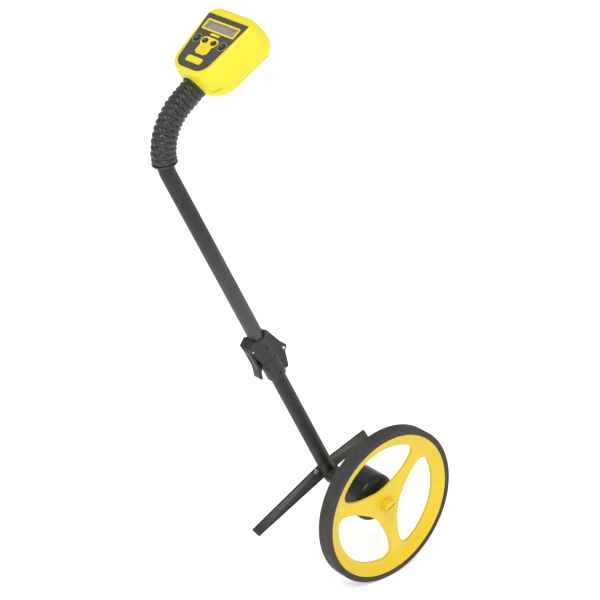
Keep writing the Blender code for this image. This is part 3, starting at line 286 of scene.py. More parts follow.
def smooth_loop(points, steps):
    """A closed Catmull-Rom curve through a few points."""
    result = []
    count = len(points)
    for i in range(count):
        p0, p1, p2, p3 = (Vector(points[(i + k - 1) % count]) for k in range(4))
        for j in range(steps):
            t = j / steps
            spot = 0.5 * (2 * p1 + (p2 - p0) * t + (2 * p0 - 5 * p1 + 4 * p2 - p3) * t * t
                          + (3 * p1 - p0 - 3 * p2 + p3) * t ** 3)
            result.append((spot.x, spot.y))
    return result


def grown(outline, amount):
    """Move a closed outline along its own normals, outwards where the amount is positive."""
    area = sum(a[0] * b[1] - b[0] * a[1] for a, b in zip(outline, outline[1:] + outline[:1]))
    sign = 1.0 if area > 0.0 else -1.0
    result = []
    for i, (x, y) in enumerate(outline):
        before = Vector(outline[i - 1])
        after = Vector(outline[(i + 1) % len(outline)])
        tangent = (after - before).normalized()
        result.append((x + sign * tangent.y * amount, y - sign * tangent.x * amount))
    return result


def make_object(name, bm, material=None):
    """Turn a bmesh into an object in the scene, with its faces outwards, and free it."""
    bmesh.ops.remove_doubles(bm, verts=bm.verts, dist=1e-6)
    bmesh.ops.recalc_face_normals(bm, faces=bm.faces)
    mesh = bpy.data.meshes.new(name)
    bm.to_mesh(mesh)
    bm.free()
    piece = bpy.data.objects.new(name, mesh)
    bpy.context.scene.collection.objects.link(piece)
    if material:
        mesh.materials.append(material)
    return piece


def apply_modifiers(piece):
    """Work a piece's modifiers into its mesh and keep its materials."""
    bpy.context.view_layer.update()
    graph = bpy.context.evaluated_depsgraph_get()
    mesh = bpy.data.meshes.new_from_object(piece.evaluated_get(graph))
    materials = list(piece.data.materials)
    piece.modifiers.clear()
    piece.data = mesh
    mesh.materials.clear()
    for material in materials:
        mesh.materials.append(material)
    return piece


def combine(piece, tools, operation="DIFFERENCE"):
    """Cut the tools from a piece, or fuse them with it, and delete them."""
    for tool in tools:
        step = piece.modifiers.new("combine", "BOOLEAN")
        step.operation = operation
        step.solver = "EXACT"
        step.object = tool
    apply_modifiers(piece)
    bm = bmesh.new()
    bm.from_mesh(piece.data)
    bmesh.ops.remove_doubles(bm, verts=bm.verts, dist=5e-6)
    bmesh.ops.dissolve_degenerate(bm, dist=1e-6, edges=bm.edges)
    bm.to_mesh(piece.data)
    bm.free()
    for tool in tools:
        bpy.data.objects.remove(tool, do_unlink=True)
    return piece


def joined(piece, tools):
    """Put several closed solids in one mesh, ready to be given a single skin."""
    bm = bmesh.new()
    for item in [piece] + tools:
        bm.from_mesh(item.data)
    bm.to_mesh(piece.data)
    bm.free()
    for tool in tools:
        bpy.data.objects.remove(tool, do_unlink=True)
    return piece


def skinned(piece, voxel, smoothing):
    """Turn overlapping solids into one moulded skin with small fillets where they meet."""
    remesh = piece.modifiers.new("skin", "REMESH")
    remesh.mode = "VOXEL"
    remesh.voxel_size = voxel
    smooth = piece.modifiers.new("fillet", "SMOOTH")
    smooth.factor = 0.5
    smooth.iterations = smoothing
    return apply_modifiers(piece)


def bevel(piece, width, segments=3, angle=35.0):
    """Round the edges that turn by more than an angle, in degrees."""
    edge = piece.modifiers.new("bevel", "BEVEL")
    edge.width = width
    edge.segments = segments
    edge.limit_method = "ANGLE"
    edge.angle_limit = math.radians(angle)
    edge.miter_outer = "MITER_ARC"
    return apply_modifiers(piece)


def shade(piece, sharp=35.0):
    """Smooth shading, apart from the edges that turn by more than an angle."""
    piece.data.shade_smooth()
    piece.data.set_sharp_from_angle(angle=math.radians(sharp))
    normals = piece.modifiers.new("normals", "WEIGHTED_NORMAL")
    normals.keep_sharp = True
    normals.weight = 50
    return apply_modifiers(piece)


def settle(piece, matrix, body, slot, *nodes, sharp=35.0):
    """Put a finished piece in the world, shade it, and hand it to its body."""
    piece.data.transform(matrix)
    shade(piece, sharp)
    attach(piece, body)
    if nodes:
        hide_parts(*nodes)
    return piece


# ---- material helpers ----------------------------------------------------------------------
class Recipe:
    """A material under construction: its shader, and short ways to add nodes to it."""

    def __init__(self, name, colour, roughness, metallic=0.0):
        self.material = bpy.data.materials.new(name)
        self.material.use_nodes = True
        self.tree = self.material.node_tree
        self.shader = self.tree.nodes["Principled BSDF"]
        self.shader.inputs["Base Color"].default_value = (*colour, 1.0)
        self.shader.inputs["Roughness"].default_value = roughness
        self.shader.inputs["Metallic"].default_value = metallic
        self.place = self.node("ShaderNodeTexCoord").outputs["Object"]

    def node(self, kind, **settings):
        made = self.tree.nodes.new(kind)
        for key, value in settings.items():
            setattr(made, key, value)
        return made

    def link(self, source, target):
        self.tree.links.new(source, target)

    def stretched(self, scale):
        mapping = self.node("ShaderNodeMapping")
        mapping.inputs["Scale"].default_value = scale
        self.link(self.place, mapping.inputs["Vector"])
        return mapping.outputs["Vector"]

    def noise(self, scale, detail=3.0, vector=None, roughness=0.55):
        made = self.node("ShaderNodeTexNoise")
        made.inputs["Scale"].default_value = scale
        made.inputs["Detail"].default_value = detail
        made.inputs["Roughness"].default_value = roughness
        self.link(vector or self.place, made.inputs["Vector"])
        return made.outputs["Fac"]

    def cells(self, scale, vector=None):
        made = self.node("ShaderNodeTexVoronoi")
        made.inputs["Scale"].default_value = scale
        self.link(vector or self.place, made.inputs["Vector"])
        return made.outputs["Distance"]

    def spread(self, source, low, high, from_low=0.3, from_high=0.7):
        made = self.node("ShaderNodeMapRange")
        made.inputs["From Min"].default_value = from_low
        made.inputs["From Max"].default_value = from_high
        made.inputs["To Min"].default_value = low
        made.inputs["To Max"].default_value = high
        self.link(source, made.inputs["Value"])
        return made.outputs["Result"]

    def mixed(self, factor, first, second):
        """Blend two colours, each a colour or another node's output."""
        made = self.node("ShaderNodeMix", data_type="RGBA")
        self.link(factor, made.inputs["Factor"])
        for value, socket in ((first, made.inputs["A"]), (second, made.inputs["B"])):
            if isinstance(value, tuple):
                socket.default_value = (*value, 1.0)
            else:
                self.link(value, socket)
        return made.outputs["Result"]

    def edges(self, low, high):
        """0 on flat ground and 1 on worn outer edges."""
        return self.spread(self.node("ShaderNodeNewGeometry").outputs["Pointiness"], 0.0, 1.0, low, high)

    def times(self, first, second):
        made = self.node("ShaderNodeMath", operation="MULTIPLY")
        self.link(first, made.inputs[0])
        self.link(second, made.inputs[1])
        return made.outputs["Value"]

    def bumped(self, heights):
        """Stack bumps, each (height, strength, distance), onto the shader's normal."""
        normal = None
        for height, strength, distance in heights:
            made = self.node("ShaderNodeBump")
            made.inputs["Strength"].default_value = strength
            made.inputs["Distance"].default_value = distance
            self.link(height, made.inputs["Height"])
            if normal:
                self.link(normal, made.inputs["Normal"])
            normal = made.outputs["Normal"]
        self.link(normal, self.shader.inputs["Normal"])

    def colour(self, source):
        self.link(source, self.shader.inputs["Base Color"])

    def rough(self, source):
        self.link(source, self.shader.inputs["Roughness"])


def moulded(name, colour, shadow, worn, roughness, grain, depth, specular=0.5):
    """Moulded plastic: fine spark-eroded grain, a slight cloud in the colour, paler edges."""
    recipe = Recipe(name, colour, roughness)
    recipe.shader.inputs["Specular IOR Level"].default_value = specular
    clouds = recipe.spread(recipe.noise(14.0, 4.0), 0.0, 1.0, 0.35, 0.65)
    base = recipe.mixed(clouds, colour, shadow)
    scuffs = recipe.spread(recipe.noise(90.0, 5.0), 0.0, 1.0, 0.45, 0.75)
    wear = recipe.times(recipe.edges(0.52, 0.60), scuffs)
    recipe.colour(recipe.mixed(wear, base, worn))
    recipe.rough(recipe.spread(recipe.noise(55.0, 4.0), roughness - 0.06, roughness + 0.08))
    recipe.bumped([(recipe.noise(1.0 / grain, 2.0), 0.35, depth), (recipe.noise(60.0, 2.0), 0.10, 0.3 * MM)])
    return recipe.material


def tyre_rubber():
    """Dusty black rubber with pale scuffs."""
    recipe = Recipe("tyre_rubber", (0.036, 0.036, 0.033), 0.72)
    recipe.shader.inputs["Specular IOR Level"].default_value = 0.35
    dust = recipe.spread(recipe.noise(38.0, 6.0), 0.0, 0.8, 0.48, 0.72)
    base = recipe.mixed(dust, (0.034, 0.034, 0.031), (0.056, 0.054, 0.049))
    scuffs = recipe.spread(recipe.noise(260.0, 4.0), 0.0, 0.5, 0.55, 0.70)
    recipe.colour(recipe.mixed(scuffs, base, (0.066, 0.064, 0.058)))
    recipe.rough(recipe.spread(recipe.noise(45.0, 5.0), 0.62, 0.82))
    recipe.bumped([(recipe.noise(1600.0, 2.0), 0.45, 0.10 * MM), (recipe.noise(210.0, 4.0), 0.25, 0.2 * MM)])
    return recipe.material


def painted_tube(name, colour, pale, along=(1.0, 1.0, 0.12)):
    """Satin paint on drawn tube: orange peel, faint rub marks along it, thin paint at the edges."""
    recipe = Recipe(name, colour, 0.5)
    recipe.shader.inputs["Specular IOR Level"].default_value = 0.36
    rubs = recipe.spread(recipe.noise(120.0, 5.0, recipe.stretched(along)), 0.0, 0.7, 0.52, 0.72)
    base = recipe.mixed(rubs, colour, pale)
    recipe.colour(recipe.mixed(recipe.edges(0.54, 0.62), base, (0.09, 0.09, 0.08)))
    recipe.rough(recipe.spread(recipe.noise(70.0, 4.0, recipe.stretched(along)), 0.44, 0.60))
    recipe.bumped([(recipe.noise(900.0, 2.0), 0.22, 0.08 * MM), (recipe.noise(150.0, 3.0), 0.12, 0.12 * MM)])
    return recipe.material


def gloss_black():
    recipe = Recipe("drum_gloss", (0.010, 0.010, 0.010), 0.34)
    recipe.shader.inputs["Specular IOR Level"].default_value = 0.4
    smears = recipe.spread(recipe.noise(26.0, 5.0), 0.0, 0.6, 0.45, 0.75)
    recipe.colour(recipe.mixed(smears, (0.009, 0.009, 0.009), (0.020, 0.019, 0.018)))
    recipe.rough(recipe.spread(recipe.noise(34.0, 6.0), 0.26, 0.44))
    recipe.bumped([(recipe.noise(32.0, 3.0), 0.10, 0.2 * MM), (recipe.noise(1500.0, 2.0), 0.06, 0.05 * MM)])
    return recipe.material


def grip_rubber():
    recipe = Recipe("grip_rubber", (0.014, 0.017, 0.014), 0.40)
    recipe.shader.inputs["Specular IOR Level"].default_value = 0.6
    hands = recipe.spread(recipe.noise(30.0, 4.0), 0.0, 1.0, 0.40, 0.65)
    base = recipe.mixed(hands, (0.011, 0.014, 0.011), (0.020, 0.024, 0.020))
    recipe.colour(recipe.mixed(recipe.edges(0.52, 0.62), base, (0.045, 0.050, 0.045)))
    recipe.rough(recipe.spread(recipe.noise(80.0, 4.0), 0.30, 0.52))
    recipe.bumped([(recipe.noise(1300.0, 2.0), 0.25, 0.07 * MM), (recipe.noise(220.0, 3.0), 0.2, 0.15 * MM)])
    return recipe.material


def plated_steel(name="zinc_steel", colour=(0.72, 0.72, 0.70)):
    recipe = Recipe(name, colour, 0.24, 1.0)
    streaks = recipe.noise(500.0, 4.0, recipe.stretched((1.0, 0.08, 1.0)))
    tint = recipe.spread(recipe.noise(180.0, 3.0), 0.0, 1.0, 0.4, 0.65)
    recipe.colour(recipe.mixed(tint, colour, tuple(0.82 * c for c in colour)))
    recipe.rough(recipe.spread(streaks, 0.16, 0.36))
    recipe.bumped([(streaks, 0.12, 0.04 * MM)])
    return recipe.material


def panel_film():
    recipe = Recipe("panel_film", (0.052, 0.047, 0.043), 0.40)
    fine = recipe.spread(recipe.noise(700.0, 2.0), 0.0, 1.0, 0.35, 0.65)
    recipe.colour(recipe.mixed(fine, (0.050, 0.046, 0.042), (0.066, 0.060, 0.054)))
    recipe.rough(recipe.spread(recipe.noise(60.0, 4.0), 0.32, 0.46))
    recipe.bumped([(recipe.cells(1500.0), 0.12, 0.05 * MM)])
    return recipe.material


def display_glass():
    """The unlit display: grey brown and faintly clouded, with a faint dot grid."""
    recipe = Recipe("display_glass", (0.16, 0.13, 0.105), 0.30)
    recipe.shader.inputs["Specular IOR Level"].default_value = 0.3
    grid = recipe.spread(recipe.cells(620.0), 0.0, 0.5, 0.1, 0.5)
    clouds = recipe.spread(recipe.noise(40.0, 3.0), 0.0, 1.0, 0.35, 0.65)
    base = recipe.mixed(clouds, (0.15, 0.122, 0.098), (0.19, 0.158, 0.128))
    recipe.colour(recipe.mixed(grid, base, (0.12, 0.098, 0.080)))
    return recipe.material


def clear_window():
    recipe = Recipe("clear_window", (0.95, 0.95, 0.92), 0.04)
    recipe.shader.inputs["Alpha"].default_value = 0.12
    recipe.shader.inputs["Coat Weight"].default_value = 0.6
    recipe.rough(recipe.spread(recipe.noise(50.0, 4.0), 0.02, 0.09))
    return recipe.material


def circuit_board():
    recipe = Recipe("circuit_board", (0.03, 0.16, 0.06), 0.35)
    tracks = recipe.spread(recipe.cells(260.0), 0.0, 1.0, 0.25, 0.30)
    recipe.colour(recipe.mixed(tracks, (0.05, 0.22, 0.08), (0.02, 0.12, 0.045)))
    recipe.bumped([(tracks, 0.3, 0.05 * MM)])
    return recipe.material


def make_materials():
    """Every finished material, by the name that the pieces ask for it with."""
    return {
        "tyre": tyre_rubber(),
        "wheel_yellow": moulded("wheel_yellow", (0.72, 0.52, 0.006), (0.68, 0.485, 0.005),
                                (0.88, 0.68, 0.10), 0.36, 0.7 * MM, 0.05 * MM),
        "head_yellow": moulded("head_yellow", (0.80, 0.70, 0.012), (0.76, 0.66, 0.010),
                               (0.92, 0.83, 0.12), 0.38, 0.6 * MM, 0.06 * MM),
        "label_yellow": moulded("label_yellow", (0.84, 0.66, 0.008), (0.78, 0.60, 0.006),
                                (0.98, 0.85, 0.12), 0.40, 1.6 * MM, 0.25 * MM),
        "gloss_black": gloss_black(),
        "black_plastic": moulded("joint_black", (0.014, 0.015, 0.012), (0.019, 0.020, 0.016),
                                 (0.050, 0.051, 0.044), 0.46, 0.9 * MM, 0.06 * MM, 0.4),
        "tube_black": painted_tube("tube_black", (0.013, 0.014, 0.010), (0.021, 0.022, 0.017)),
        "stand_black": painted_tube("stand_black", (0.016, 0.016, 0.013), (0.025, 0.025, 0.021),
                                    (0.12, 1.0, 1.0)),
        # Painted shade: the near-black brown of the block in the cap's slot, standing for the slot's shadow.
        "slot_painted_shade": moulded("slot_painted_shade", (0.075, 0.040, 0.004), (0.060, 0.032, 0.003),
                              (0.12, 0.07, 0.01), 0.6, 0.9 * MM, 0.04 * MM, 0.2),
        # Painted shade: the near-black of the strip along the stand's lower edge, standing for the shadow
        # there.
        "painted_shade_black": moulded("painted_shade_black", (0.004, 0.004, 0.004), (0.005, 0.005, 0.005),
                                (0.012, 0.012, 0.012), 0.62, 0.9 * MM, 0.04 * MM, 0.25),
        "grip_rubber": grip_rubber(),
        "panel_grey": panel_film(),
        "button_black": moulded("key_black", (0.012, 0.013, 0.011), (0.016, 0.017, 0.015),
                                (0.05, 0.05, 0.045), 0.30, 0.8 * MM, 0.02 * MM),
        "key_mark": moulded("key_mark", (0.30, 0.32, 0.18), (0.26, 0.28, 0.16), (0.40, 0.42, 0.26),
                            0.45, 0.5 * MM, 0.02 * MM),
        "steel": plated_steel(),
        "dark_steel": plated_steel("dark_steel", (0.045, 0.045, 0.042)),
        "display": display_glass(),
        "clear": clear_window(),
        "board": circuit_board(),
        "cell": plated_steel("cell_sleeve", (0.35, 0.35, 0.36)),
        "brass": plated_steel("brass", (0.75, 0.58, 0.25)),
    }


# ---- where the pieces go --------------------------------------------------------------------
def joint_place(name):
    """Where the frame says that a joint is."""
    joint = next(joint for joint in frame["joints"] if joint["name"] == name)
    return Vector(joint["pos_m"])


def hub_matrix():
    """The wheel's and the drum's pieces are drawn about the hub."""
    return Matrix.Translation(joint_place("wheel_spin"))


def stand_matrix():
    """The stand's pieces are drawn level, about its pivot."""
    return Matrix.Translation(joint_place("stand_swing")) @ Matrix.Rotation(-STAND_TILT, 4, "Y")


def tube_matrix():
    """The tubes' and the joint's pieces are drawn upright, about the stand's pivot."""
    return Matrix.Translation(joint_place("stand_swing")) @ Matrix.Rotation(-TUBE_LEAN, 4, "Y")


def handle_point(distance):
    """Position and heading on the tube's centre line, with 0 at the axle."""
    if distance <= BEND_START:
        return 0.0, distance, QUARTER
    turned_by = min((distance - BEND_START) / BEND_RADIUS, BEND_ANGLE)
    heading = QUARTER - turned_by
    x = BEND_RADIUS * (1.0 - math.cos(turned_by))
    z = BEND_START + BEND_RADIUS * math.sin(turned_by)
    extra = max(0.0, distance - BEND_END)
    return x + extra * math.cos(heading), z + extra * math.sin(heading), heading


def head_matrix():
    """The head's pieces are drawn about the middle of the panel's top edge."""
    x, z, heading = handle_point(BEND_END)
    at_end = Matrix.Translation((x, 0.0, z)) @ Matrix.Rotation(-heading, 4, "Y")
    return tube_matrix() @ at_end @ Matrix.Translation((PANEL_TOP, 0.0, PANEL_ABOVE_TUBE))


# ---- wheel ----------------------------------------------------------------------------------
def build_tyre(materials):
    """A rounded band with a shallow groove round its tread."""
    inner = WHEEL_RADIUS - TYRE_DEPTH
    half = TYRE_WIDTH / 2.0
    rib = 0.35 * MM
    profile = filleted([
        (inner, -half + 0.6 * MM, 0.3 * MM), (inner + 1.2 * MM, -half, 0.5 * MM),
        (WHEEL_RADIUS - 2.2 * MM, -half, 1.6 * MM), (WHEEL_RADIUS, -half + 2.6 * MM, 2.2 * MM),
        (WHEEL_RADIUS, -5.0 * MM, 0.2 * MM), (WHEEL_RADIUS - rib, -4.6 * MM, 0.2 * MM),
        (WHEEL_RADIUS - rib, 4.6 * MM, 0.2 * MM), (WHEEL_RADIUS, 5.0 * MM, 0.2 * MM),
        (WHEEL_RADIUS, half - 2.6 * MM, 2.2 * MM), (WHEEL_RADIUS - 2.2 * MM, half, 1.6 * MM),
        (inner + 1.2 * MM, half, 0.5 * MM), (inner, half - 0.6 * MM, 0.3 * MM)], 4)
    piece = make_object("tyre_band", turned(profile, FINE, "Y"), materials["tyre"])
    settle(piece, hub_matrix(), "wheel", "tyre", "tyre")


def window_outline(bisector):
    """One opening between two spokes, as points (x, z) round the axle."""
    half = [(0.0, 35.5), (20.0, 38.5), (34.0, 47.5), (44.5, 62.0), (50.5, 80.0), (52.0, 97.0),
            (51.5, 110.0), (48.0, 119.0), (41.0, 122.0), (27.0, 122.3), (13.0, 122.4), (0.0, 122.4)]
    mirrored = [(-angle, radius) for angle, radius in reversed(half[1:-1])]
    points = []
    for angle, radius in half + mirrored:
        place = bisector + math.radians(angle)
        points.append((radius * MM * math.cos(place), radius * MM * math.sin(place)))
    return smooth_loop(points, 5)


def plate_with_holes(name, outlines, half_thickness, edge):
    """A flat plate with rounded edges: the first outline is its rim, the others are holes."""
    curve = bpy.data.curves.new(name, "CURVE")
    curve.dimensions = "2D"
    curve.fill_mode = "BOTH"
    curve.extrude = half_thickness - edge
    curve.bevel_depth = edge
    curve.bevel_resolution = 4
    for outline in outlines:
        spline = curve.splines.new("POLY")
        spline.points.add(len(outline) - 1)
        for point, (x, y) in zip(spline.points, outline):
            point.co = (x, y, 0.0, 1.0)
        spline.use_cyclic_u = True
    holder = bpy.data.objects.new(name, curve)
    bpy.context.scene.collection.objects.link(holder)
    bpy.context.view_layer.update()
    mesh = bpy.data.meshes.new_from_object(holder.evaluated_get(bpy.context.evaluated_depsgraph_get()))
    bpy.data.objects.remove(holder, do_unlink=True)
    bm = bmesh.new()
    bm.from_mesh(mesh)
    return bm


def build_rim(materials):
    """The spoked plate, the rim wall with its lip, and the hub."""
    half = (WEB_BACK - WEB_FRONT) / 2.0
    middle = (WEB_BACK + WEB_FRONT) / 2.0
    plate_radius = 131.5 * MM
    holes = [grown(window_outline(FIRST_SPOKE + math.tau * (i + 0.5) / SPOKE_COUNT), WEB_EDGE)
             for i in range(SPOKE_COUNT)]
    rim_circle = ellipse(plate_radius, plate_radius, FINE)
    bore = ellipse(AXLE_BORE + WEB_EDGE, AXLE_BORE + WEB_EDGE, SMALL)
    web = plate_with_holes("web", [rim_circle] + holes + [bore], half, WEB_EDGE)
    upright = Matrix.Translation((0.0, middle, 0.0)) @ Matrix.Rotation(math.radians(90.0), 4, "X")
    bmesh.ops.transform(web, matrix=upright, verts=web.verts)
    rim = make_object("rim_and_spokes", web, materials["wheel_yellow"])

    lip = RIM_OUTER - 2.8 * MM
    tuck = 0.25 * MM
    channel = filleted([
        (124.0 * MM, WEB_FRONT + tuck, 0.0), (128.4 * MM, WEB_FRONT + tuck, 1.0 * MM),
        (131.6 * MM, WEB_FRONT - 1.6 * MM, 2.5 * MM), (139.6 * MM, WEB_FRONT - 7.6 * MM, 1.2 * MM),
        (142.0 * MM, WEB_FRONT - 8.2 * MM, 1.0 * MM),
        (lip - 0.4 * MM, -RIM_HALF + 0.3 * MM, 0.8 * MM), (lip, -RIM_HALF - 0.3 * MM, 0.4 * MM),
        (RIM_OUTER, -RIM_HALF - 0.3 * MM, 0.8 * MM),
        (RIM_OUTER, RIM_HALF, 0.8 * MM), (lip, RIM_HALF, 1.3 * MM),
        (140.0 * MM, WEB_BACK + 4.6 * MM, 6.0 * MM), (131.0 * MM, WEB_BACK + 2.0 * MM, 7.0 * MM),
        (125.5 * MM, WEB_BACK - tuck, 1.0 * MM), (124.0 * MM, WEB_BACK - tuck, 0.0)], 6)
    ring_tool = make_object("ring_tool", turned(channel, FINE, "Y"))
    boss = filleted([
        (AXLE_BORE, WEB_FRONT - 0.9 * MM, 0.0), (16.5 * MM, WEB_FRONT - 0.9 * MM, 0.6 * MM),
        (18.0 * MM, WEB_FRONT + tuck, 0.0), (18.0 * MM, 0.0, 0.0), (HUB_RADIUS + 4.0 * MM, 0.0, 0.0),
        (HUB_RADIUS + 4.0 * MM, WEB_BACK - tuck, 0.0), (HUB_RADIUS, WEB_BACK + 4.0 * MM, 3.0 * MM),
        (HUB_RADIUS - 0.6 * MM, HUB_BACK, 1.2 * MM), (AXLE_BORE, HUB_BACK, 0.0)], 5)
    boss_tool = make_object("boss_tool", turned(boss, ROUND, "Y"))
    combine(rim, [ring_tool, boss_tool], "UNION")
    settle(rim, hub_matrix(), "wheel", "wheel_yellow", "wheel_rim")


def build_hub_cap(materials):
    """The screw cap, with a coin slot, and a dark block of painted shade at the bottom of the slot."""
    base = WEB_FRONT - 2.1 * MM
    profile = filleted([
        (AXLE_BORE, base, 0.0), (CAP_RADIUS + 0.8 * MM, base, 0.4 * MM),
        (CAP_RADIUS + 0.5 * MM, base - 1.8 * MM, 0.4 * MM), (CAP_RADIUS, base - 2.3 * MM, 0.3 * MM),
        (CAP_RADIUS - 0.6 * MM, CAP_FACE, 1.5 * MM), (0.0, CAP_FACE, 0.0),
        (0.0, -11.3 * MM, 0.0), (AXLE_BORE, -11.3 * MM, 0.0)], 6)
    cap = make_object("hub_screw_cap", turned(profile, ROUND, "Y"), materials["wheel_yellow"])
    half_slot = CAP_RADIUS - 1.9 * MM
    slot = block((-half_slot, CAP_FACE - 1.0 * MM, -1.4 * MM), (half_slot, CAP_FACE + 4.4 * MM, 1.4 * MM))
    slot_tool = make_object("slot_tool", shifted(slot, turn_y=SLOT_ANGLE))
    combine(cap, [slot_tool])
    bevel(cap, 0.3 * MM, 2, 50.0)
    settle(cap, hub_matrix(), "wheel", "wheel_yellow", "hub_cap")
    # Painted shade: a near-black brown block 1.2 mm down in the slot stands for the shadow at the slot's
    # bottom.
    shade_block = block((-half_slot + 0.1 * MM, CAP_FACE + 1.2 * MM, -1.3 * MM),
                        (half_slot - 0.1 * MM, CAP_FACE + 4.2 * MM, 1.3 * MM))
    painted_shade = make_object("cap_slot_painted_shade", shifted(shade_block, turn_y=SLOT_ANGLE), materials["slot_painted_shade"])
    settle(painted_shade, hub_matrix(), "wheel", "wheel_yellow")


# ---- counter drum ----------------------------------------------------------------------------
def build_drum(materials):
    """The hollow counter drum, with the seat of its front bearing."""
    seat = 11.3 * MM
    wall = 3.0 * MM
    middle = (DRUM_RADIUS - DRUM_FILLET, DRUM_FRONT + DRUM_FILLET)
    profile = [(DRUM_BORE, DRUM_FRONT)]
    profile += arc(middle, DRUM_FILLET, -QUARTER, 0.0, 20)
    profile += [(DRUM_RADIUS, DRUM_BACK - 0.6 * MM), (DRUM_RADIUS - 0.5 * MM, DRUM_BACK),
                (DRUM_RADIUS - wall, DRUM_BACK)]
    profile += arc(middle, DRUM_FILLET - wall, 0.0, -QUARTER, 12)
    profile += [(seat + 3.5 * MM, DRUM_FRONT + wall), (seat + 3.5 * MM, DRUM_FRONT + 9.0 * MM),
                (seat, DRUM_FRONT + 9.0 * MM), (seat, DRUM_FRONT + 2.0 * MM),
                (DRUM_BORE, DRUM_FRONT + 2.0 * MM)]
    piece = make_object("counter_drum", turned(profile, 160, "Y"), materials["gloss_black"])
    settle(piece, hub_matrix(), "base", "gloss_black", "drum_body")


def build_cover(materials):
    """The drum's back, with the neck that holds the tube, and ribs round it."""
    front = DRUM_BACK + GAP
    tube_y = (joint_place("stand_swing") - joint_place("wheel_spin")).y
    profile = filleted([
        (DRUM_BORE, front, 0.0), (DRUM_RADIUS - 0.6 * MM, front, 0.3 * MM),
        (DRUM_RADIUS, front + 1.2 * MM, 0.4 * MM), (DRUM_RADIUS, COVER_BACK, 1.8 * MM),
        (NECK_RADIUS, COVER_BACK, 6.0 * MM), (NECK_RADIUS, tube_y - 2.0 * MM, 1.0 * MM),
        (PIVOT_HOLE_RADIUS, tube_y - 2.0 * MM, 0.0), (PIVOT_HOLE_RADIUS, COVER_BACK + 8.0 * MM, 0.0),
        (DRUM_BORE, COVER_BACK + 8.0 * MM, 0.0)], 8)
    cover = make_object("drum_rear_cover", turned(profile, 128, "Y"), materials["black_plastic"])
    saddle = rod(TUBE_RADIUS + GAP, -60.0 * MM, 60.0 * MM, ROUND)
    tools = [make_object("saddle_tool", shifted(saddle, (0.0, tube_y, 0.0), -TUBE_LEAN))]
    for i in range(COVER_SCREWS):
        x, z = cover_screw_place(i)
        seat = rod(SCREW_SEAT_RADIUS, COVER_BACK - 1.0 * MM, COVER_BACK + 2.0 * MM, SMALL, "Y")
        tools.append(make_object("seat_tool", shifted(seat, (x, 0.0, z))))
    combine(cover, tools)
    ribs = []
    for i in range(COVER_RIBS):
        angle = math.tau * (i + 0.5) / COVER_RIBS
        rib = block((NECK_RADIUS - 1.0 * MM, COVER_BACK - 1.0 * MM, -1.0 * MM),
                    (38.0 * MM, COVER_BACK + 2.4 * MM, 1.0 * MM))
        ribs.append(make_object("rib_tool", shifted(rib, turn_y=angle)))
    combine(cover, ribs, "UNION")
    bevel(cover, 0.35 * MM, 2, 50.0)
    settle(cover, hub_matrix(), "base", "black_plastic", "drum_cover")


def cover_screw_place(i):
    """Where a cover screw sits round the axle, as (x, z)."""
    angle = math.radians(90.0) + math.tau * i / COVER_SCREWS
    return COVER_SCREW_CIRCLE * math.cos(angle), COVER_SCREW_CIRCLE * math.sin(angle)


def pan_screw(radius, height, shank, length, drive):
    """A pan-head screw along +Z from its seat, with a cross drive."""
    profile = filleted([
        (0.0, -length, 0.0), (shank, -length, 0.0), (shank, 0.0, 0.0), (radius, 0.0, 0.15 * MM),
        (radius, height * 0.45, height * 0.4), (radius * 0.55, height, height * 0.5), (0.0, height, 0.0)], 4)
    screw = make_object("screw", turned(profile, SMALL))
    tools = []
    for turn in (0.0, math.radians(90.0)):
        bar = block((-drive, -0.22 * drive, height - 0.9 * MM), (drive, 0.22 * drive, height + 1.0 * MM))
        bmesh.ops.transform(bar, matrix=Matrix.Rotation(turn, 4, "Z"), verts=bar.verts)
        tools.append(make_object("drive_tool", bar))
    combine(screw, tools)
    return screw


def name_screw(screw, name, material, matrix, body, node):
    """Finish a screw and put it in its place."""
    screw.name = name
    screw.data.materials.append(material)
    settle(screw, matrix, body, "steel", node)


def build_cover_screws(materials):
    back_to_front = Matrix.Rotation(math.radians(-90.0), 4, "X")
    for i in range(COVER_SCREWS):
        x, z = cover_screw_place(i)
        seat = hub_matrix() @ Matrix.Translation((x, COVER_BACK - 0.6 * MM, z)) @ back_to_front
        screw = pan_screw(3.6 * MM, 2.2 * MM, 1.6 * MM, 4.0 * MM, 1.9 * MM)
        name_screw(screw, "cover_screw_head_%d" % (i + 1), materials["steel"], seat, "base",
                   "cover_screw_%d" % (i + 1))


# ---- tubes and stand --------------------------------------------------------------------------
def sweep_rings(distances, radius_at, sides):
    """Rings of points round the tube's centre line.  The radius may depend on place and angle."""
    rings = []
    for distance in distances:
        x, z, heading = handle_point(distance)
        side = Vector((math.sin(heading), 0.0, -math.cos(heading)))
        points = []
        for i in range(sides):
            angle = math.tau * i / sides
            radius = radius_at(distance, angle)
            offset = side * (radius * math.cos(angle)) + Vector((0.0, radius * math.sin(angle), 0.0))
            points.append(Vector((x, 0.0, z)) + offset)
        rings.append(points)
    return rings


def even_steps(start, end, count):
    """Evenly spaced numbers, with both ends."""
    return [start + (end - start) * i / count for i in range(count + 1)]


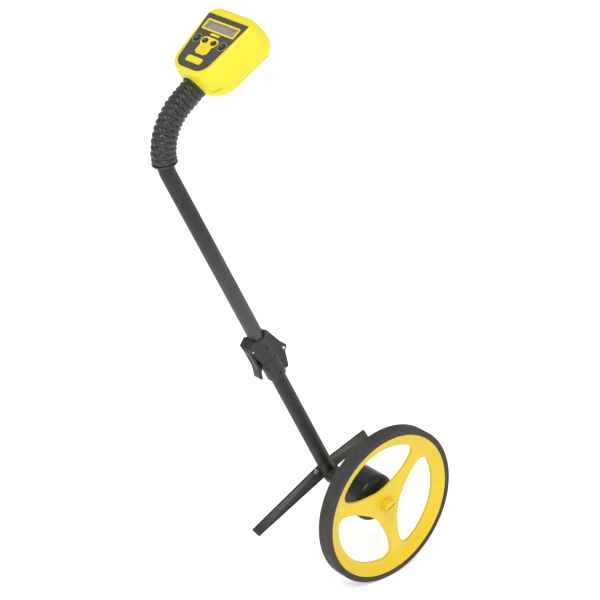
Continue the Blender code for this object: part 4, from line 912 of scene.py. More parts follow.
def build_lower_tube(materials):
    """The tube from the drum to the joint, and the plug in its lower end."""
    top = FOLD_S - 6.0 * MM
    edge = 0.4 * MM
    bore = TUBE_RADIUS - TUBE_WALL
    stations = [(TUBE_RADIUS, height * MM, 0.0) for height in (7.0, 14.0, 40.0, 120.0, 240.0)]
    profile = filleted([(bore, TUBE_BOTTOM, edge), (TUBE_RADIUS, TUBE_BOTTOM, edge)] + stations
                       + [(TUBE_RADIUS, top, edge), (bore, top, edge)], 3)
    tube = make_object("lower_tube_skin", turned(profile, ROUND), materials["tube_black"])
    hole = rod(PIVOT_HOLE_RADIUS, -30.0 * MM, 30.0 * MM, SMALL, "Y")
    combine(tube, [make_object("hole_tool", hole)])
    settle(tube, tube_matrix(), "base", "tube_black", "lower_tube")

    low = TUBE_BOTTOM - 4.0 * MM
    plug = filleted([
        (0.0, low, 0.0), (9.0 * MM, low + 0.4 * MM, 4.0 * MM),
        (TUBE_RADIUS - 0.1 * MM, TUBE_BOTTOM - 1.4 * MM, 0.8 * MM),
        (TUBE_RADIUS - 0.1 * MM, TUBE_BOTTOM - GAP, 0.0), (bore - GAP, TUBE_BOTTOM - GAP, 0.0),
        (bore - GAP, TUBE_BOTTOM + 7.0 * MM, 0.0), (0.0, TUBE_BOTTOM + 7.0 * MM, 0.0)], 5)
    plug = make_object("tube_plug", turned(plug, ROUND), materials["tube_black"])
    settle(plug, tube_matrix(), "base", "black_plastic", "tube_end_plug")


def build_upper_tube(materials):
    """The tube from the joint round the bend and into the head."""
    distances = [FOLD_S + 6.0 * MM] + even_steps(BEND_START, BEND_END, 24) + [TUBE_END]
    outer = sweep_rings(distances, lambda distance, angle: TUBE_RADIUS, ROUND)
    inner = sweep_rings(distances, lambda distance, angle: TUBE_RADIUS - TUBE_WALL, ROUND)
    tube = make_object("upper_tube_skin", loft(outer + list(reversed(inner)), closed=True),
                       materials["tube_black"])
    settle(tube, tube_matrix(), "handle", "tube_black", "upper_tube")


def build_pivot(materials):
    """The bolt that the stand swings on, and its washer."""
    back = STAND_FRONT_Y + STAND_THICKNESS
    start = back + 2.2 * MM
    shank = 4.2 * MM
    high = start + 5.0 * MM
    profile = filleted([
        (0.0, -26.0 * MM, 0.0), (shank, -26.0 * MM, 0.5 * MM), (shank, start, 0.0),
        (7.5 * MM, start, 0.3 * MM), (7.5 * MM, high, 2.4 * MM), (0.0, high, 0.0)], 6)
    bolt = make_object("pivot_bolt_dome", turned(profile, ROUND, "Y"), materials["steel"])
    socket = prism(ellipse(3.4 * MM, 3.4 * MM, 6), high - 2.6 * MM, high + 1.0 * MM, "Y")
    combine(bolt, [make_object("socket_tool", socket)])
    place = Matrix.Translation(joint_place("stand_swing"))
    settle(bolt, place, "base", "steel", "pivot_bolt")
    washer = filleted([(shank + GAP, back + GAP, 0.0), (11.5 * MM, back + GAP, 0.3 * MM),
                       (11.5 * MM, start - GAP, 0.5 * MM), (shank + GAP, start - GAP, 0.0)], 3)
    washer = make_object("pivot_washer_plate", turned(washer, ROUND, "Y"), materials["steel"])
    settle(washer, place, "base", "steel", "pivot_washer")


def build_stand(materials):
    """A pressed strip, straight below and peaked at its pivot above, with a strip of painted shade along its
    lower edge.
    """
    bottom = -19.6 * MM
    tip_top = 4.5 * MM
    peak = 15.5 * MM
    outline = filleted([
        (STAND_REAR + 7.0 * MM, bottom, 1.0 * MM), (STAND_FORE + 2.0 * MM, bottom + 1.0 * MM, 1.0 * MM),
        (STAND_FORE - 2.0 * MM, tip_top, 1.0 * MM), (9.0 * MM, peak, 12.0 * MM),
        (-9.0 * MM, peak, 12.0 * MM), (STAND_REAR, tip_top, 1.0 * MM)], 6)
    bar = make_object("stand_strip", prism(outline, STAND_FRONT_Y, STAND_FRONT_Y + STAND_THICKNESS, "Y"),
                      materials["stand_black"])
    hole = rod(7.8 * MM, 0.0, 40.0 * MM, ROUND, "Y")
    combine(bar, [make_object("hole_tool", hole)])
    bevel(bar, 0.4 * MM, 3, 30.0)
    settle(bar, stand_matrix(), "stand", "stand_black", "stand_bar")

    # Painted shade: a near-black strip on the front of the lower edge, widest at the pivot, stands for the
    # shadow under that edge.
    painted_shade = filleted([
        (STAND_REAR + 7.8 * MM, bottom + 0.1 * MM, 0.2 * MM),
        (STAND_FORE + 1.4 * MM, bottom + 1.1 * MM, 0.2 * MM),
        (STAND_FORE + 1.3 * MM, bottom + 1.3 * MM, 0.2 * MM), (0.0, bottom + 6.3 * MM, 2.0 * MM),
        (STAND_REAR + 7.7 * MM, bottom + 0.8 * MM, 0.2 * MM)], 3)
    painted_shade = prism(painted_shade, STAND_FRONT_Y - 0.2 * MM, STAND_FRONT_Y + 0.5 * MM, "Y")
    painted_shade = make_object("stand_edge_painted_shade", painted_shade, materials["painted_shade_black"])
    settle(painted_shade, stand_matrix(), "stand", "stand_black")


def build_stand_rivet(materials):
    """The bright hollow rivet on the bar, just behind the tube."""
    head = STAND_FRONT_Y - GAP
    profile = filleted([
        (1.5 * MM, head + 1.4 * MM, 0.0), (1.9 * MM, head, 0.3 * MM), (6.0 * MM, head, 0.3 * MM),
        (5.2 * MM, head - 1.2 * MM, 0.6 * MM), (2.2 * MM, head - 1.2 * MM, 0.6 * MM)], 4)
    rivet = make_object("stand_rivet_head", turned(profile, SMALL, "Y"), materials["steel"])
    place = stand_matrix() @ Matrix.Translation((STAND_RIVET_X, 0.0, STAND_RIVET_Z))
    settle(rivet, place, "stand", "steel", "stand_rivet")


# ---- folding joint ------------------------------------------------------------------------------
def sleeve(radius, low, high, low_round, high_round):
    """A collar round the tube, with rounded rims."""
    inner = TUBE_RADIUS + GAP
    return turned(filleted([(inner, low, 0.0), (radius, low, low_round), (radius, high, high_round),
                            (inner, high, 0.0)], 6), ROUND)


def oblong(low_x, high_x, low_z, high_z):
    """The four corners of a straight block, in the tube's side view."""
    return [(low_x, low_z), (high_x, low_z), (high_x, high_z), (low_x, high_z)]


def tool_prism(points, low, high, fillet=1.0 * MM):
    """A tool with rounded corners, drawn in the tube's side view."""
    outline = filleted([(x, z, fillet) for x, z in points], 4)
    return make_object("tool", prism(outline, low, high, "Y"))


def pin_tool(x, z, radius):
    """A hole for a pin, right through the joint."""
    pin = rod(radius, -40.0 * MM, 40.0 * MM, SMALL, "Y")
    return make_object("tool", shifted(pin, (x, 0.0, z)))


def build_lower_socket(materials):
    """The lower half of the joint: collar, spine, knuckle, catch, ribs and flats."""
    top = FOLD_S - 0.4 * MM
    socket = make_object("fold_lower_half", sleeve(SOCKET_RADIUS, SOCKET_BOTTOM, top, 4.0 * MM, 0.6 * MM),
                         materials["black_plastic"])
    half = KNUCKLE_HALF_WIDTH
    spine = [(15.0 * MM, SOCKET_BOTTOM + 3.0 * MM), (24.5 * MM, SOCKET_BOTTOM + 1.0 * MM),
             (27.0 * MM, SOCKET_BOTTOM + 5.0 * MM), (FOLD_P + KNUCKLE_RADIUS, FOLD_S - 3.0 * MM),
             (FOLD_P, FOLD_S), (15.0 * MM, FOLD_S - 0.6 * MM)]
    tools = [tool_prism(spine, -half + 0.2 * MM, half - 0.2 * MM)]
    knuckle = round_rod(KNUCKLE_RADIUS, -half, half, 0.6 * MM, 3)
    tools.append(make_object("tool", shifted(knuckle, (FOLD_P, 0.0, FOLD_S))))
    catch = [(-15.0 * MM, FOLD_S - 24.0 * MM), (CATCH_P, FOLD_S - 16.0 * MM), (CATCH_P, FOLD_S - 0.8 * MM),
             (-15.0 * MM, FOLD_S - 0.8 * MM)]
    tools.append(tool_prism(catch, -12.5 * MM, 12.5 * MM, 0.5 * MM))
    for side in (-1.0, 1.0):
        low, high = sorted((side * (half + 1.5 * MM), side * (half + 3.8 * MM)))
        rib = [(11.0 * MM, SOCKET_BOTTOM + 9.0 * MM), (19.5 * MM, SOCKET_BOTTOM + 16.0 * MM),
               (21.5 * MM, FOLD_S - 8.0 * MM), (19.0 * MM, FOLD_S - 1.5 * MM),
               (11.0 * MM, FOLD_S - 1.5 * MM)]
        tools.append(tool_prism(rib, low, high))
        low, high = sorted((side * 12.0 * MM, side * 18.6 * MM))
        pad = oblong(-9.0 * MM, 9.0 * MM, SOCKET_BOTTOM + 9.0 * MM, FOLD_S - 1.0 * MM)
        tools.append(tool_prism(pad, low, high, 3.0 * MM))
    skinned(joined(socket, tools), 0.6 * MM, 5)
    combine(socket, [pin_tool(FOLD_P, FOLD_S, PIN_RADIUS + 0.1 * MM), screw_seat(LOWER_SCREW_S),
                     bore_tool(SOCKET_BOTTOM - 10.0 * MM, FOLD_S + 10.0 * MM)])
    settle(socket, tube_matrix(), "base", "black_plastic", "lower_socket", sharp=60.0)


def bore_tool(low, high):
    """The hole that the tube sits in."""
    return make_object("tool", rod(TUBE_RADIUS + TUBE_FIT, low, high, ROUND))


def screw_seat(height):
    """The seat of a side screw, in the flat pad on the visible side."""
    seat = rod(3.2 * MM, -30.0 * MM, -18.4 * MM, SMALL, "Y")
    return make_object("tool", shifted(seat, (0.0, 0.0, height)))


def build_upper_socket(materials):
    """The upper half of the joint: collar, cheeks with eyes, the lever's lugs, flats."""
    low = FOLD_S + 0.4 * MM
    socket = make_object("fold_upper_half", sleeve(SOCKET_RADIUS, low, SOCKET_TOP, 0.6 * MM, 1.5 * MM),
                         materials["black_plastic"])
    tools = []
    inside = KNUCKLE_HALF_WIDTH + 0.5 * MM
    for side in (-1.0, 1.0):
        bottom, top = sorted((side * inside, side * SOCKET_HALF_WIDTH))
        cheek = [(4.0 * MM, low + 0.3 * MM), (FOLD_P, low + 0.3 * MM),
                 (FOLD_P + 5.0 * MM, FOLD_S + 5.0 * MM), (FOLD_P + 2.0 * MM, FOLD_S + 12.0 * MM),
                 (17.5 * MM, SOCKET_TOP + 6.0 * MM),
                 (12.0 * MM, SOCKET_TOP + 9.0 * MM), (4.0 * MM, SOCKET_TOP - 3.0 * MM)]
        tools.append(tool_prism(cheek, bottom, top))
        eye = round_rod(KNUCKLE_RADIUS, bottom, top, 0.6 * MM, 3)
        tools.append(make_object("tool", shifted(eye, (FOLD_P, 0.0, FOLD_S))))
        bottom, top = sorted((side * (LATCH_HALF_WIDTH + 0.5 * MM), side * 14.5 * MM))
        lug = [(-8.0 * MM, low + 0.4 * MM), (CATCH_P + 1.0 * MM, low + 0.4 * MM),
               (LATCH_P + 1.0 * MM, LATCH_S - 14.0 * MM), (LATCH_P - 4.0 * MM, LATCH_S - 2.0 * MM),
               (LATCH_P - 4.8 * MM, LATCH_S + 10.0 * MM), (-16.5 * MM, SOCKET_TOP + 6.0 * MM),
               (-8.0 * MM, SOCKET_TOP - 1.0 * MM)]
        tools.append(tool_prism(lug, bottom, top, 0.7 * MM))
        bottom, top = sorted((side * 12.0 * MM, side * 18.8 * MM))
        pad = oblong(-9.0 * MM, 6.0 * MM, low + 0.5 * MM, SOCKET_TOP - 8.0 * MM)
        tools.append(tool_prism(pad, bottom, top, 3.0 * MM))
    roof = [(-8.0 * MM, LATCH_S + 7.6 * MM), (LATCH_P - 4.6 * MM, LATCH_S + 7.6 * MM),
            (LATCH_P - 4.8 * MM, LATCH_S + 10.0 * MM), (-16.5 * MM, SOCKET_TOP + 6.0 * MM),
            (-8.0 * MM, SOCKET_TOP - 1.0 * MM)]
    tools.append(tool_prism(roof, -LATCH_HALF_WIDTH - 1.0 * MM, LATCH_HALF_WIDTH + 1.0 * MM, 0.7 * MM))
    bridge = [(10.0 * MM, FOLD_S + 12.0 * MM), (FOLD_P - 7.5 * MM, FOLD_S + 14.0 * MM),
              (18.0 * MM, SOCKET_TOP + 2.0 * MM), (10.0 * MM, SOCKET_TOP + 2.0 * MM)]
    tools.append(tool_prism(bridge, -12.0 * MM, 12.0 * MM))
    skinned(joined(socket, tools), 0.6 * MM, 5)
    combine(socket, [pin_tool(FOLD_P, FOLD_S, PIN_RADIUS + 0.1 * MM),
                     pin_tool(LATCH_P, LATCH_S, LATCH_PIN_RADIUS + 0.1 * MM),
                     screw_seat(UPPER_SCREW_S), bore_tool(FOLD_S - 10.0 * MM, SOCKET_TOP + 30.0 * MM)])
    settle(socket, tube_matrix(), "handle", "black_plastic", "upper_socket", sharp=60.0)


def build_latch(materials):
    """The lever: a curved plate with side walls, flared out at its lower end for the fingers."""
    half = LATCH_HALF_WIDTH
    reach = LATCH_S - FOLD_S
    outer = -5.0 * MM
    inner = outer + 4.5 * MM
    outline = [
        (1.0 * MM, 4.0 * MM), (-3.0 * MM, 4.0 * MM), (outer - 0.5 * MM, 0.0),
        (outer, -reach + 2.0 * MM), (outer - 2.5 * MM, -reach - 12.0 * MM),
        (outer - 6.0 * MM, -reach - 25.0 * MM), (outer - 3.6 * MM, -reach - 30.0 * MM),
        (outer - 0.2 * MM, -reach - 28.6 * MM), (inner - 1.0 * MM, -reach - 16.0 * MM),
        (inner + 4.2 * MM, -reach - 9.5 * MM), (inner + 4.2 * MM, -reach - 6.6 * MM),
        (inner, -reach - 6.2 * MM), (inner, -reach + 10.0 * MM), (4.0 * MM, -4.0 * MM),
        (4.0 * MM, 1.0 * MM)]
    fillets = [1.0, 1.5, 2.0, 8.0, 10.0, 2.0, 1.5, 1.5, 3.0, 0.8, 0.8, 0.8, 3.0, 2.0, 1.5]
    outline = filleted([(x, z, fillet * MM) for (x, z), fillet in zip(outline, fillets)], 5)
    lever = make_object("latch_paddle", prism(outline, -half, half, "Y"), materials["black_plastic"])
    groove = [(outer - 12.0 * MM, -reach - 25.0 * MM), (outer - 1.2 * MM, -reach - 8.0 * MM),
              (outer + 1.2 * MM, -reach + 6.0 * MM), (outer + 1.2 * MM, -12.0 * MM),
              (outer - 12.0 * MM, -12.0 * MM)]
    hollow = tool_prism(groove, -half + 2.2 * MM, half - 2.2 * MM)
    hole = rod(LATCH_PIN_RADIUS + 0.2 * MM, -half - 1.0 * MM, half + 1.0 * MM, SMALL, "Y")
    combine(lever, [hollow, make_object("tool", hole)])
    bevel(lever, 0.5 * MM, 3, 50.0)
    at_pin = tube_matrix() @ Matrix.Translation((LATCH_P, 0.0, LATCH_S))
    settle(lever, at_pin, "latch", "black_plastic", "latch_lever", sharp=60.0)


def build_joint_pins(materials):
    """The rivets of the fold and of the latch, with domed bright ends, and the two side screws."""
    for name, body, node, x, z, radius, half in (
            ("fold_rivet", "base", "fold_pin", FOLD_P, FOLD_S, PIN_RADIUS, 19.4 * MM),
            ("latch_rivet", "handle", "latch_pin", LATCH_P, LATCH_S, LATCH_PIN_RADIUS, 15.4 * MM)):
        pin = make_object(name, round_rod(radius, -half, half, radius * 0.6, 6), materials["steel"])
        settle(pin, tube_matrix() @ Matrix.Translation((x, 0.0, z)), body, "steel", node)
    outwards = Matrix.Rotation(math.radians(90.0), 4, "X")
    for name, body, node, z in (
            ("lower_side_screw", "base", "lower_socket_screw", LOWER_SCREW_S),
            ("upper_side_screw", "handle", "upper_socket_screw", UPPER_SCREW_S)):
        screw = pan_screw(2.9 * MM, 1.5 * MM, 1.6 * MM, 2.0 * MM, 1.5 * MM)
        place = tube_matrix() @ Matrix.Translation((0.0, -18.3 * MM, z)) @ outwards
        name_screw(screw, name, materials["dark_steel"], place, body, node)


# ---- grip ---------------------------------------------------------------------------------------
def grip_radius(distance, angle):
    """Ribs round the grip, each cut into slanting pads that are staggered from rib to rib."""
    along = distance - GRIP_START - GRIP_FLANGE
    if along < 0.0:
        edge = min(distance - GRIP_START, -along) / GRIP_FLANGE
        return GRIP_RADIUS - 1.2 * MM + 1.8 * MM * min(1.0, 4.0 * edge) - 0.6 * MM
    pitch = (GRIP_END - GRIP_START - GRIP_FLANGE) / GRIP_RIBS
    rib, phase = divmod(along / pitch, 1.0)
    crown = math.sin(math.pi * phase)
    ring = GRIP_GROOVE * (1.0 - crown) ** 1.4
    turn = GRIP_SCALES * angle / math.tau + 0.5 * (rib % 2) + 0.7 * phase
    pad = abs(math.sin(math.pi * turn))
    return GRIP_RADIUS - ring - 2.3 * MM * (1.0 - pad ** 0.5) * crown


def build_grip(materials):
    """The ribbed rubber round the bend."""
    distances = even_steps(GRIP_START, GRIP_START + GRIP_FLANGE, 8)
    distances += even_steps(GRIP_START + GRIP_FLANGE, GRIP_END, GRIP_RIBS * 14)[1:]
    outer = sweep_rings(distances, grip_radius, 180)
    inner = sweep_rings(even_steps(GRIP_START, GRIP_END, 24),
                        lambda distance, angle: TUBE_RADIUS + TUBE_FIT, 180)
    grip = make_object("ribbed_grip", loft(outer + list(reversed(inner)), closed=True),
                       materials["grip_rubber"])
    settle(grip, tube_matrix(), "handle", "grip_rubber", "grip", sharp=70.0)


# ---- head ---------------------------------------------------------------------------------------
def head_ring(depth, inset, steps=14):
    """The housing's outline at one depth, shrunk all round by an inset."""
    spread = min(depth, 50.0 * MM) / (50.0 * MM)
    crown = math.sin(math.pi * min(depth / HEAD_DEPTH, 1.0))
    half_top = (58.0 + 8.0 * spread) * MM - inset
    half_bottom = (52.0 + 5.0 * spread) * MM - inset
    top = (16.0 + 7.0 * crown) * MM - inset
    bottom = (-120.0 - 6.0 * crown) * MM + inset
    low_corner = (34.0 + 14.0 * spread) * MM - inset / 2.0
    top_corner = (20.0 + 6.0 * crown) * MM - inset / 2.0
    outline = rounded_box(bottom, top, half_bottom, half_top, low_corner, top_corner, steps)
    return [Vector((x, y, -depth)) for x, y in outline]


def head_taper(depth):
    """How far the housing draws in as it rounds towards its back."""
    start = 44.0 * MM
    along = max(depth - start, 0.0) / (HEAD_SEAM - start)
    return 4.4 * MM * along ** 2.2


def panel_outline(grow=0.0):
    """The outline of the dark front film, or a larger one."""
    return rounded_box(-PANEL_LENGTH - grow, grow, PANEL_HALF_BOTTOM + grow, PANEL_HALF_TOP + grow,
                       24.0 * MM + grow, 2.5 * MM + grow, 12)


def key_places():
    """Each key: x, y, half length along x and half width along y.  -Y is the head's right."""
    return {
        "key_power": (KEY_ROW, 33.6 * MM, *ROUND_KEY),
        "key_reset": (KEY_ROW, -33.6 * MM, *ROUND_KEY),
        "key_store": (KEY_ROW, 11.2 * MM, *OVAL_KEY),
        "key_recall": (KEY_ROW, -11.2 * MM, *OVAL_KEY),
    }


def outline_tool(outline, low, high):
    """A cutter that stands on the panel, between two heights above it."""
    return make_object("tool", prism(outline, low, high))


def key_hole_tools(names, low, high, gap=0.5 * MM):
    """Holes for the keys of these names, a gap wider than the keys."""
    tools = []
    for name in names:
        x, y, radius_x, radius_y = key_places()[name]
        outline = ellipse(radius_x + gap, radius_y + gap, SMALL)
        tools.append(make_object("tool", shifted(prism(outline, low, high), (x, y, 0.0))))
    return tools


def build_head_shell(materials):
    """The hollow housing, with its openings at the front and its side recesses."""
    corner = 5.0 * MM
    rings = [head_ring(0.0, corner)]
    for i in range(1, 9):
        angle = QUARTER * i / 8
        rings.append(head_ring(corner * (1.0 - math.cos(angle)), corner * (1.0 - math.sin(angle))))
    rings += [head_ring(depth * MM, head_taper(depth * MM)) for depth in range(12, 65, 2)]
    rings += [head_ring(HEAD_SEAM - 0.8 * MM, head_taper(HEAD_SEAM - 0.8 * MM)),
              head_ring(HEAD_SEAM, head_taper(HEAD_SEAM) + 0.6 * MM)]
    hollow = [(HEAD_SEAM, 7.4), (57.0 * MM, 4.2), (46.0 * MM, 3.2), (30.0 * MM, 3.2), (9.0 * MM, 3.6),
              (3.2 * MM, 8.0)]
    inner = [head_ring(depth, inset * MM) for depth, inset in hollow]
    shell = make_object("head_housing", loft(rings + inner), materials["head_yellow"])

    tools = [outline_tool(panel_outline(0.3 * MM), -PANEL_THICKNESS - 0.1 * MM, 2.0 * MM)]
    display = box_mm(-34.0, -9.9, 43.3, 3.6)
    tools.append(outline_tool(display, -9.0 * MM, 2.0 * MM))
    tools += key_hole_tools(key_places(), -9.0 * MM, 2.0 * MM)
    entry = rod(GRIP_RADIUS + 0.6 * MM, -150.0 * MM, -100.0 * MM, ROUND, "X")
    tools.append(make_object("tool", shifted(entry, (0.0, 0.0, -PANEL_ABOVE_TUBE))))
    tools.append(side_recess_tool(-1.0))
    tools.append(side_recess_tool(1.0))
    combine(shell, tools)
    bevel(shell, 0.55 * MM, 3, 40.0)
    settle(shell, head_matrix(), "handle", "head_yellow", "head_shell", sharp=50.0)


def side_recess_tool(side):
    """The oblong recess low on each side, which follows the rounded corner."""
    depth = 45.0 * MM
    bm = prism(slot_outline(9.0 * MM, 3.0 * MM, 8), -2.4 * MM, 8.0 * MM)
    corner = 46.6 * MM
    facing = math.radians(50.0)
    out = Vector((-math.cos(facing), side * math.sin(facing), 0.0))
    along = Vector((math.sin(facing), side * math.cos(facing), 0.0))
    turn = Matrix((along, Vector((0.0, 0.0, 1.0)), out)).transposed().to_4x4()
    middle = Vector((-125.5 * MM + corner, side * (56.5 * MM - corner), -depth))
    spot = middle + out * corner
    bmesh.ops.transform(bm, matrix=Matrix.Translation(spot) @ turn, verts=bm.verts)
    return make_object("tool", bm)


def build_head_back(materials):
    """The rear cover, the opening for the battery door, and four screws."""
    rings = [head_ring(HEAD_SEAM + 0.3 * MM, 5.2 * MM), head_ring(HEAD_SEAM + 0.9 * MM, 4.9 * MM)]
    corner = HEAD_DEPTH - HEAD_SEAM - 0.9 * MM
    for i in range(1, 9):
        angle = QUARTER * i / 8
        rings.append(head_ring(HEAD_SEAM + 0.9 * MM + corner * math.sin(angle),
                               4.9 * MM + 1.5 * corner * (1.0 - math.cos(angle))))
    back = make_object("head_rear_cover", loft(rings), materials["head_yellow"])
    opening = rounded_box(BAY_LOW, BAY_HIGH, BAY_HALF, BAY_HALF, BAY_CORNER, BAY_CORNER)
    tools = [outline_tool(opening, -HEAD_DEPTH - 2.0 * MM, -HEAD_SEAM + 2.0 * MM)]
    for x, y in head_screw_places():
        seat = rod(SCREW_SEAT_RADIUS, -HEAD_DEPTH - 2.0 * MM, -HEAD_DEPTH + 2.0 * MM, SMALL)
        tools.append(make_object("tool", shifted(seat, (x, y, 0.0))))
    combine(back, tools)
    bevel(back, 0.4 * MM, 3, 40.0)
    settle(back, head_matrix(), "handle", "head_yellow", "head_back", sharp=50.0)
    for i, (x, y) in enumerate(head_screw_places()):
        screw = pan_screw(3.4 * MM, 1.9 * MM, 1.6 * MM, 4.0 * MM, 1.8 * MM)
        seat = Matrix.Translation((x, y, -HEAD_DEPTH + 1.8 * MM)) @ Matrix.Rotation(math.pi, 4, "X")
        name_screw(screw, "head_screw_head_%d" % (i + 1), materials["steel"], head_matrix() @ seat,
                   "handle", "head_screw_%d" % (i + 1))


def head_screw_places():
    """Where the four screws of the rear cover are, in two pairs."""
    return [(x, y) for x, half in HEAD_SCREW_PAIRS for y in (-half, half)]


def build_battery_door(materials):
    """The sliding door, with grooves for the thumb."""
    gap = 0.4 * MM
    half = BAY_HALF - gap
    corner = BAY_CORNER - 0.3 * MM
    outline = rounded_box(BAY_LOW + gap, BAY_HIGH - gap, half, half, corner, corner)
    door = make_object("battery_hatch", prism(outline, -HEAD_DEPTH - 0.6 * MM, -HEAD_SEAM - GAP),
                       materials["head_yellow"])
    tools = []
    for i in range(5):
        x = BAY_HIGH - (6.0 + 2.6 * i) * MM
        groove = [(x + across, along) for along, across in slot_outline(10.0 * MM, 0.7 * MM, 5)]
        tools.append(outline_tool(groove, -HEAD_DEPTH - 2.0 * MM, -HEAD_DEPTH + 0.4 * MM))
    combine(door, tools)
    bevel(door, 0.3 * MM, 2, 40.0)
    settle(door, head_matrix(), "battery_door", "head_yellow", "battery_door")


def panel_piece(name, outline, low, high, cuts=(), edge=0.0, segments=2):
    """A flat piece of the head's front, with its heights and its bevel in millimetres."""
    piece = make_object(name, prism(outline, low * MM, high * MM))
    if cuts:
        combine(piece, cuts)
    if edge:
        bevel(piece, edge * MM, segments, 40.0)
    return piece


def build_panel(materials):
    """The film, the display behind its window, the blank label and the strip over the keys."""
    cuts = [outline_tool(box_mm(-33.8, -10.1, 43.1, 3.4), -3.0 * MM, 3.0 * MM)]
    cuts += key_hole_tools(key_places(), -3.0 * MM, 3.0 * MM)
    window = [outline_tool(box_mm(-30.4, -13.6, 39.6, 1.0), -6.0 * MM, 6.0 * MM)]
    field = [outline_tool(box_mm(-28.6, -16.0, 35.5, 0.6), -6.0 * MM, 6.0 * MM)]
    sunk = [outline_tool(box_mm(-99.4, -90.1, 17.9, 2.6), 0.9 * MM, 3.0 * MM)]
    thickness = PANEL_THICKNESS / MM
    for piece, material, slot, nodes in (
            (panel_piece("panel_film_sheet", panel_outline(), 0.2 - thickness, -0.1, cuts, 0.15),
             "panel_grey", "panel_grey", ["panel_overlay"]),
            (panel_piece("display_bezel", box_mm(-33.6, -10.3, 42.9, 3.2), -3.2, 1.0, window, 0.6, 3),
             "head_yellow", "head_yellow", ["display_frame"]),
            (panel_piece("display_window", box_mm(-30.1, -13.9, 39.3, 1.0), -1.4, -0.5, (), 0.15),
             "clear", "clear", ["display_lens"]),
            (panel_piece("display_mask", box_mm(-30.8, -13.2, 40.0, 1.0), -3.1, -2.3, field),
             "button_black", "button_black", []),
            (panel_piece("display_cell", box_mm(-33.0, -12.0, 39.0, 0.8), -8.5, -3.3, (), 0.2),
             "display", "display", ["display_module"]),
            (panel_piece("blank_label", box_mm(-101.0, -88.5, 19.5, 4.0), -0.1, 1.3, sunk, 0.3),
             "head_yellow", "head_yellow", ["name_plate"]),
            (panel_piece("mode_strip", box_mm(-40.4, -36.0, 11.5, 1.0), -0.1, 0.5, (), 0.2),
             "label_yellow", "head_yellow", [])):
        piece.data.materials.append(materials[material])
        settle(piece, head_matrix(), "handle", slot, *nodes)


def key_plate_outline():
    """The goblet-shaped surround of the two middle keys."""
    half = [(-44.4, 10.5), (-46.4, 18.6), (-51.5, 21.6), (-58.5, 19.8), (-64.0, 14.8), (-70.5, 15.8),
            (-77.0, 15.4), (-81.5, 9.5)]
    right = [(x * MM, y * MM, 3.0 * MM) for x, y in half]
    left = [(x, -y, fillet) for x, y, fillet in reversed(right)]
    return filleted(right + left, 5)


def build_key_plate(materials):
    """The yellow surround, with holes for the two middle keys."""
    plate = make_object("key_surround", prism(key_plate_outline(), -0.1 * MM, 1.1 * MM),
                        materials["label_yellow"])
    combine(plate, key_hole_tools(("key_store", "key_recall"), -3.0 * MM, 3.0 * MM, 0.6 * MM))
    bevel(plate, 0.4 * MM, 3, 40.0)
    settle(plate, head_matrix(), "handle", "head_yellow", "key_plate")


def build_keys(materials):
    """The four keys with their marks, and a ring round each of the round ones."""
    for name, (x, y, radius_x, radius_y) in key_places().items():
        rings = []
        for height, scale in ((-7.2, 1.0), (0.8, 1.0), (1.3, 0.985), (1.8, 0.93), (2.1, 0.85), (2.2, 0.72),
                              (2.1, 0.5)):
            outline = ellipse(radius_x * scale, radius_y * scale, SMALL)
            rings.append([Vector((px, py, height * MM)) for px, py in outline])
        at_key = head_matrix() @ Matrix.Translation((x, y, 0.0))
        cap = make_object(name + "_cap", loft(rings), materials["button_black"])
        settle(cap, at_key, name, "button_black", name)
        mark = make_object(name + "_mark", key_mark(name), materials["key_mark"])
        settle(mark, at_key, name, "button_black")
        if radius_x == radius_y:
            ring = turned(filleted([
                (8.3 * MM, -0.1 * MM, 0.0), (9.5 * MM, -0.1 * MM, 0.0), (9.5 * MM, 0.4 * MM, 0.3 * MM),
                (8.9 * MM, 0.7 * MM, 0.3 * MM), (8.3 * MM, 0.4 * MM, 0.2 * MM)], 4), 64)
            ring = make_object(name + "_ring", ring, materials["key_mark"])
            settle(ring, at_key, "handle", "button_black")


def key_mark(name):
    """A small plain mark on each key: a ring, a dot, or a long or a short bar."""
    low, high = 1.9 * MM, 2.35 * MM
    if name == "key_power":
        return turned([(1.3 * MM, low), (2.0 * MM, low), (2.0 * MM, high), (1.3 * MM, high)], SMALL)
    if name == "key_reset":
        return prism(ellipse(1.3 * MM, 1.3 * MM, SMALL), low, high)
    half_long = 1.9 * MM if name == "key_store" else 1.2 * MM
    return prism(rounded_box(-0.5 * MM, 0.5 * MM, half_long, half_long, 0.4 * MM, 0.4 * MM, 4), low, high)


def dress_hidden_nodes(materials):
    """CAD pieces that stay as they are, most of them inside, get the finished materials too."""
    wanted = {
        "axle": "steel", "axle_collar": "steel", "front_bearing": "steel", "rear_bearing": "steel",
        "hub_washer": "wheel_yellow", "encoder_disc": "black_plastic", "sensor_board": "board",
        "optical_fork": "black_plastic", "stand_bush": "brass", "main_board": "board",
        "battery_tray": "black_plastic", "battery_cell_1": "cell", "battery_cell_2": "cell",
        "battery_contact_left": "brass", "battery_contact_right": "brass", "tube_clamp": "black_plastic",
    }
    for node, material in wanted.items():
        mesh = frame["nodes"][node].data
        mesh.materials.clear()
        mesh.materials.append(materials[material])


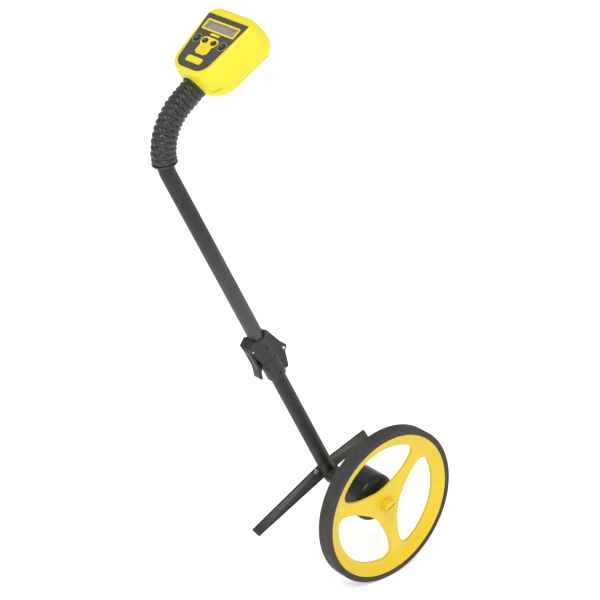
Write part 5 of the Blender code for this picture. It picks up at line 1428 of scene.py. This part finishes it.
# ---- studio -------------------------------------------------------------------------------------
def build_camera():
    """The photo's view, with the camera aimed from the hub."""
    sine, cosine = math.sin(CAMERA_AZIMUTH), math.cos(CAMERA_AZIMUTH)
    rise, flat = math.sin(CAMERA_ELEVATION), math.cos(CAMERA_ELEVATION)
    back = Vector((sine * flat, -cosine * flat, rise))
    right = Vector((cosine, sine, 0.0))
    up = back.cross(right)
    data = bpy.data.cameras.new("camera")
    data.lens = CAMERA_LENS
    data.sensor_width = 36.0
    data.clip_end = 50.0
    camera = bpy.data.objects.new("camera", data)
    camera.location = (joint_place("wheel_spin") + right * CAMERA_SIDE + up * CAMERA_RISE
                       + back * CAMERA_DISTANCE)
    camera.rotation_mode = "QUATERNION"
    camera.rotation_quaternion = (-back).to_track_quat("-Z", "Y")
    bpy.context.scene.collection.objects.link(camera)
    bpy.context.scene.camera = camera


def build_studio():
    """A white room with a floor, a key light and a weak fill."""
    world = bpy.data.worlds.new("studio")
    world.use_nodes = True
    background = world.node_tree.nodes["Background"]
    background.inputs["Color"].default_value = (1.0, 1.0, 1.0, 1.0)
    background.inputs["Strength"].default_value = 0.62
    bpy.context.scene.world = world
    bpy.context.scene.view_settings.view_transform = "Standard"

    bm = bmesh.new()
    bmesh.ops.create_grid(bm, x_segments=2, y_segments=2, size=30.0)
    recipe = Recipe("floor_white", (0.94, 0.94, 0.93), 0.8)
    recipe.shader.inputs["Emission Color"].default_value = (1.0, 1.0, 1.0, 1.0)
    recipe.shader.inputs["Emission Strength"].default_value = 0.45
    recipe.rough(recipe.spread(recipe.noise(3.0, 2.0), 0.75, 0.85))
    floor = make_object("floor", bm, recipe.material)

    sun_light("key", (-0.62, -0.55, 1.25), 1.7, 30.0)
    sun_light("fill", (0.9, -0.9, 0.7), 0.2, 60.0)


def sun_light(name, direction, strength, spread):
    """A sun that shines from a direction, as wide as an angle in degrees."""
    data = bpy.data.lights.new(name, "SUN")
    data.energy = strength
    data.angle = math.radians(spread)
    light = bpy.data.objects.new(name, data)
    light.location = direction
    light.rotation_mode = "QUATERNION"
    light.rotation_quaternion = Vector(direction).to_track_quat("Z", "Y")
    bpy.context.scene.collection.objects.link(light)


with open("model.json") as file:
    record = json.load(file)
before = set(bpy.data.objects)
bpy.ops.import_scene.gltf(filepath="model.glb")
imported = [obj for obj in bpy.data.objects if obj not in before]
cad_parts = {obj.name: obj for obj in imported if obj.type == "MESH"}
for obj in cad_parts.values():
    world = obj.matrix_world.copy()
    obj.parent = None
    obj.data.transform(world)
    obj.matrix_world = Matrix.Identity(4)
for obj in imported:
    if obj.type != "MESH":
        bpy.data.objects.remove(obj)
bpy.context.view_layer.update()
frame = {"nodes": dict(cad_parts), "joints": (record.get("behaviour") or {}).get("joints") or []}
parts = make_materials()
build_camera()
build_studio()
build_tyre(parts)
build_rim(parts)
build_hub_cap(parts)
build_drum(parts)
build_cover(parts)
build_cover_screws(parts)
build_lower_tube(parts)
build_upper_tube(parts)
build_pivot(parts)
build_stand(parts)
build_stand_rivet(parts)
build_lower_socket(parts)
build_upper_socket(parts)
build_latch(parts)
build_joint_pins(parts)
build_grip(parts)
build_head_shell(parts)
build_head_back(parts)
build_battery_door(parts)
build_panel(parts)
build_key_plate(parts)
build_keys(parts)
dress_hidden_nodes(parts)
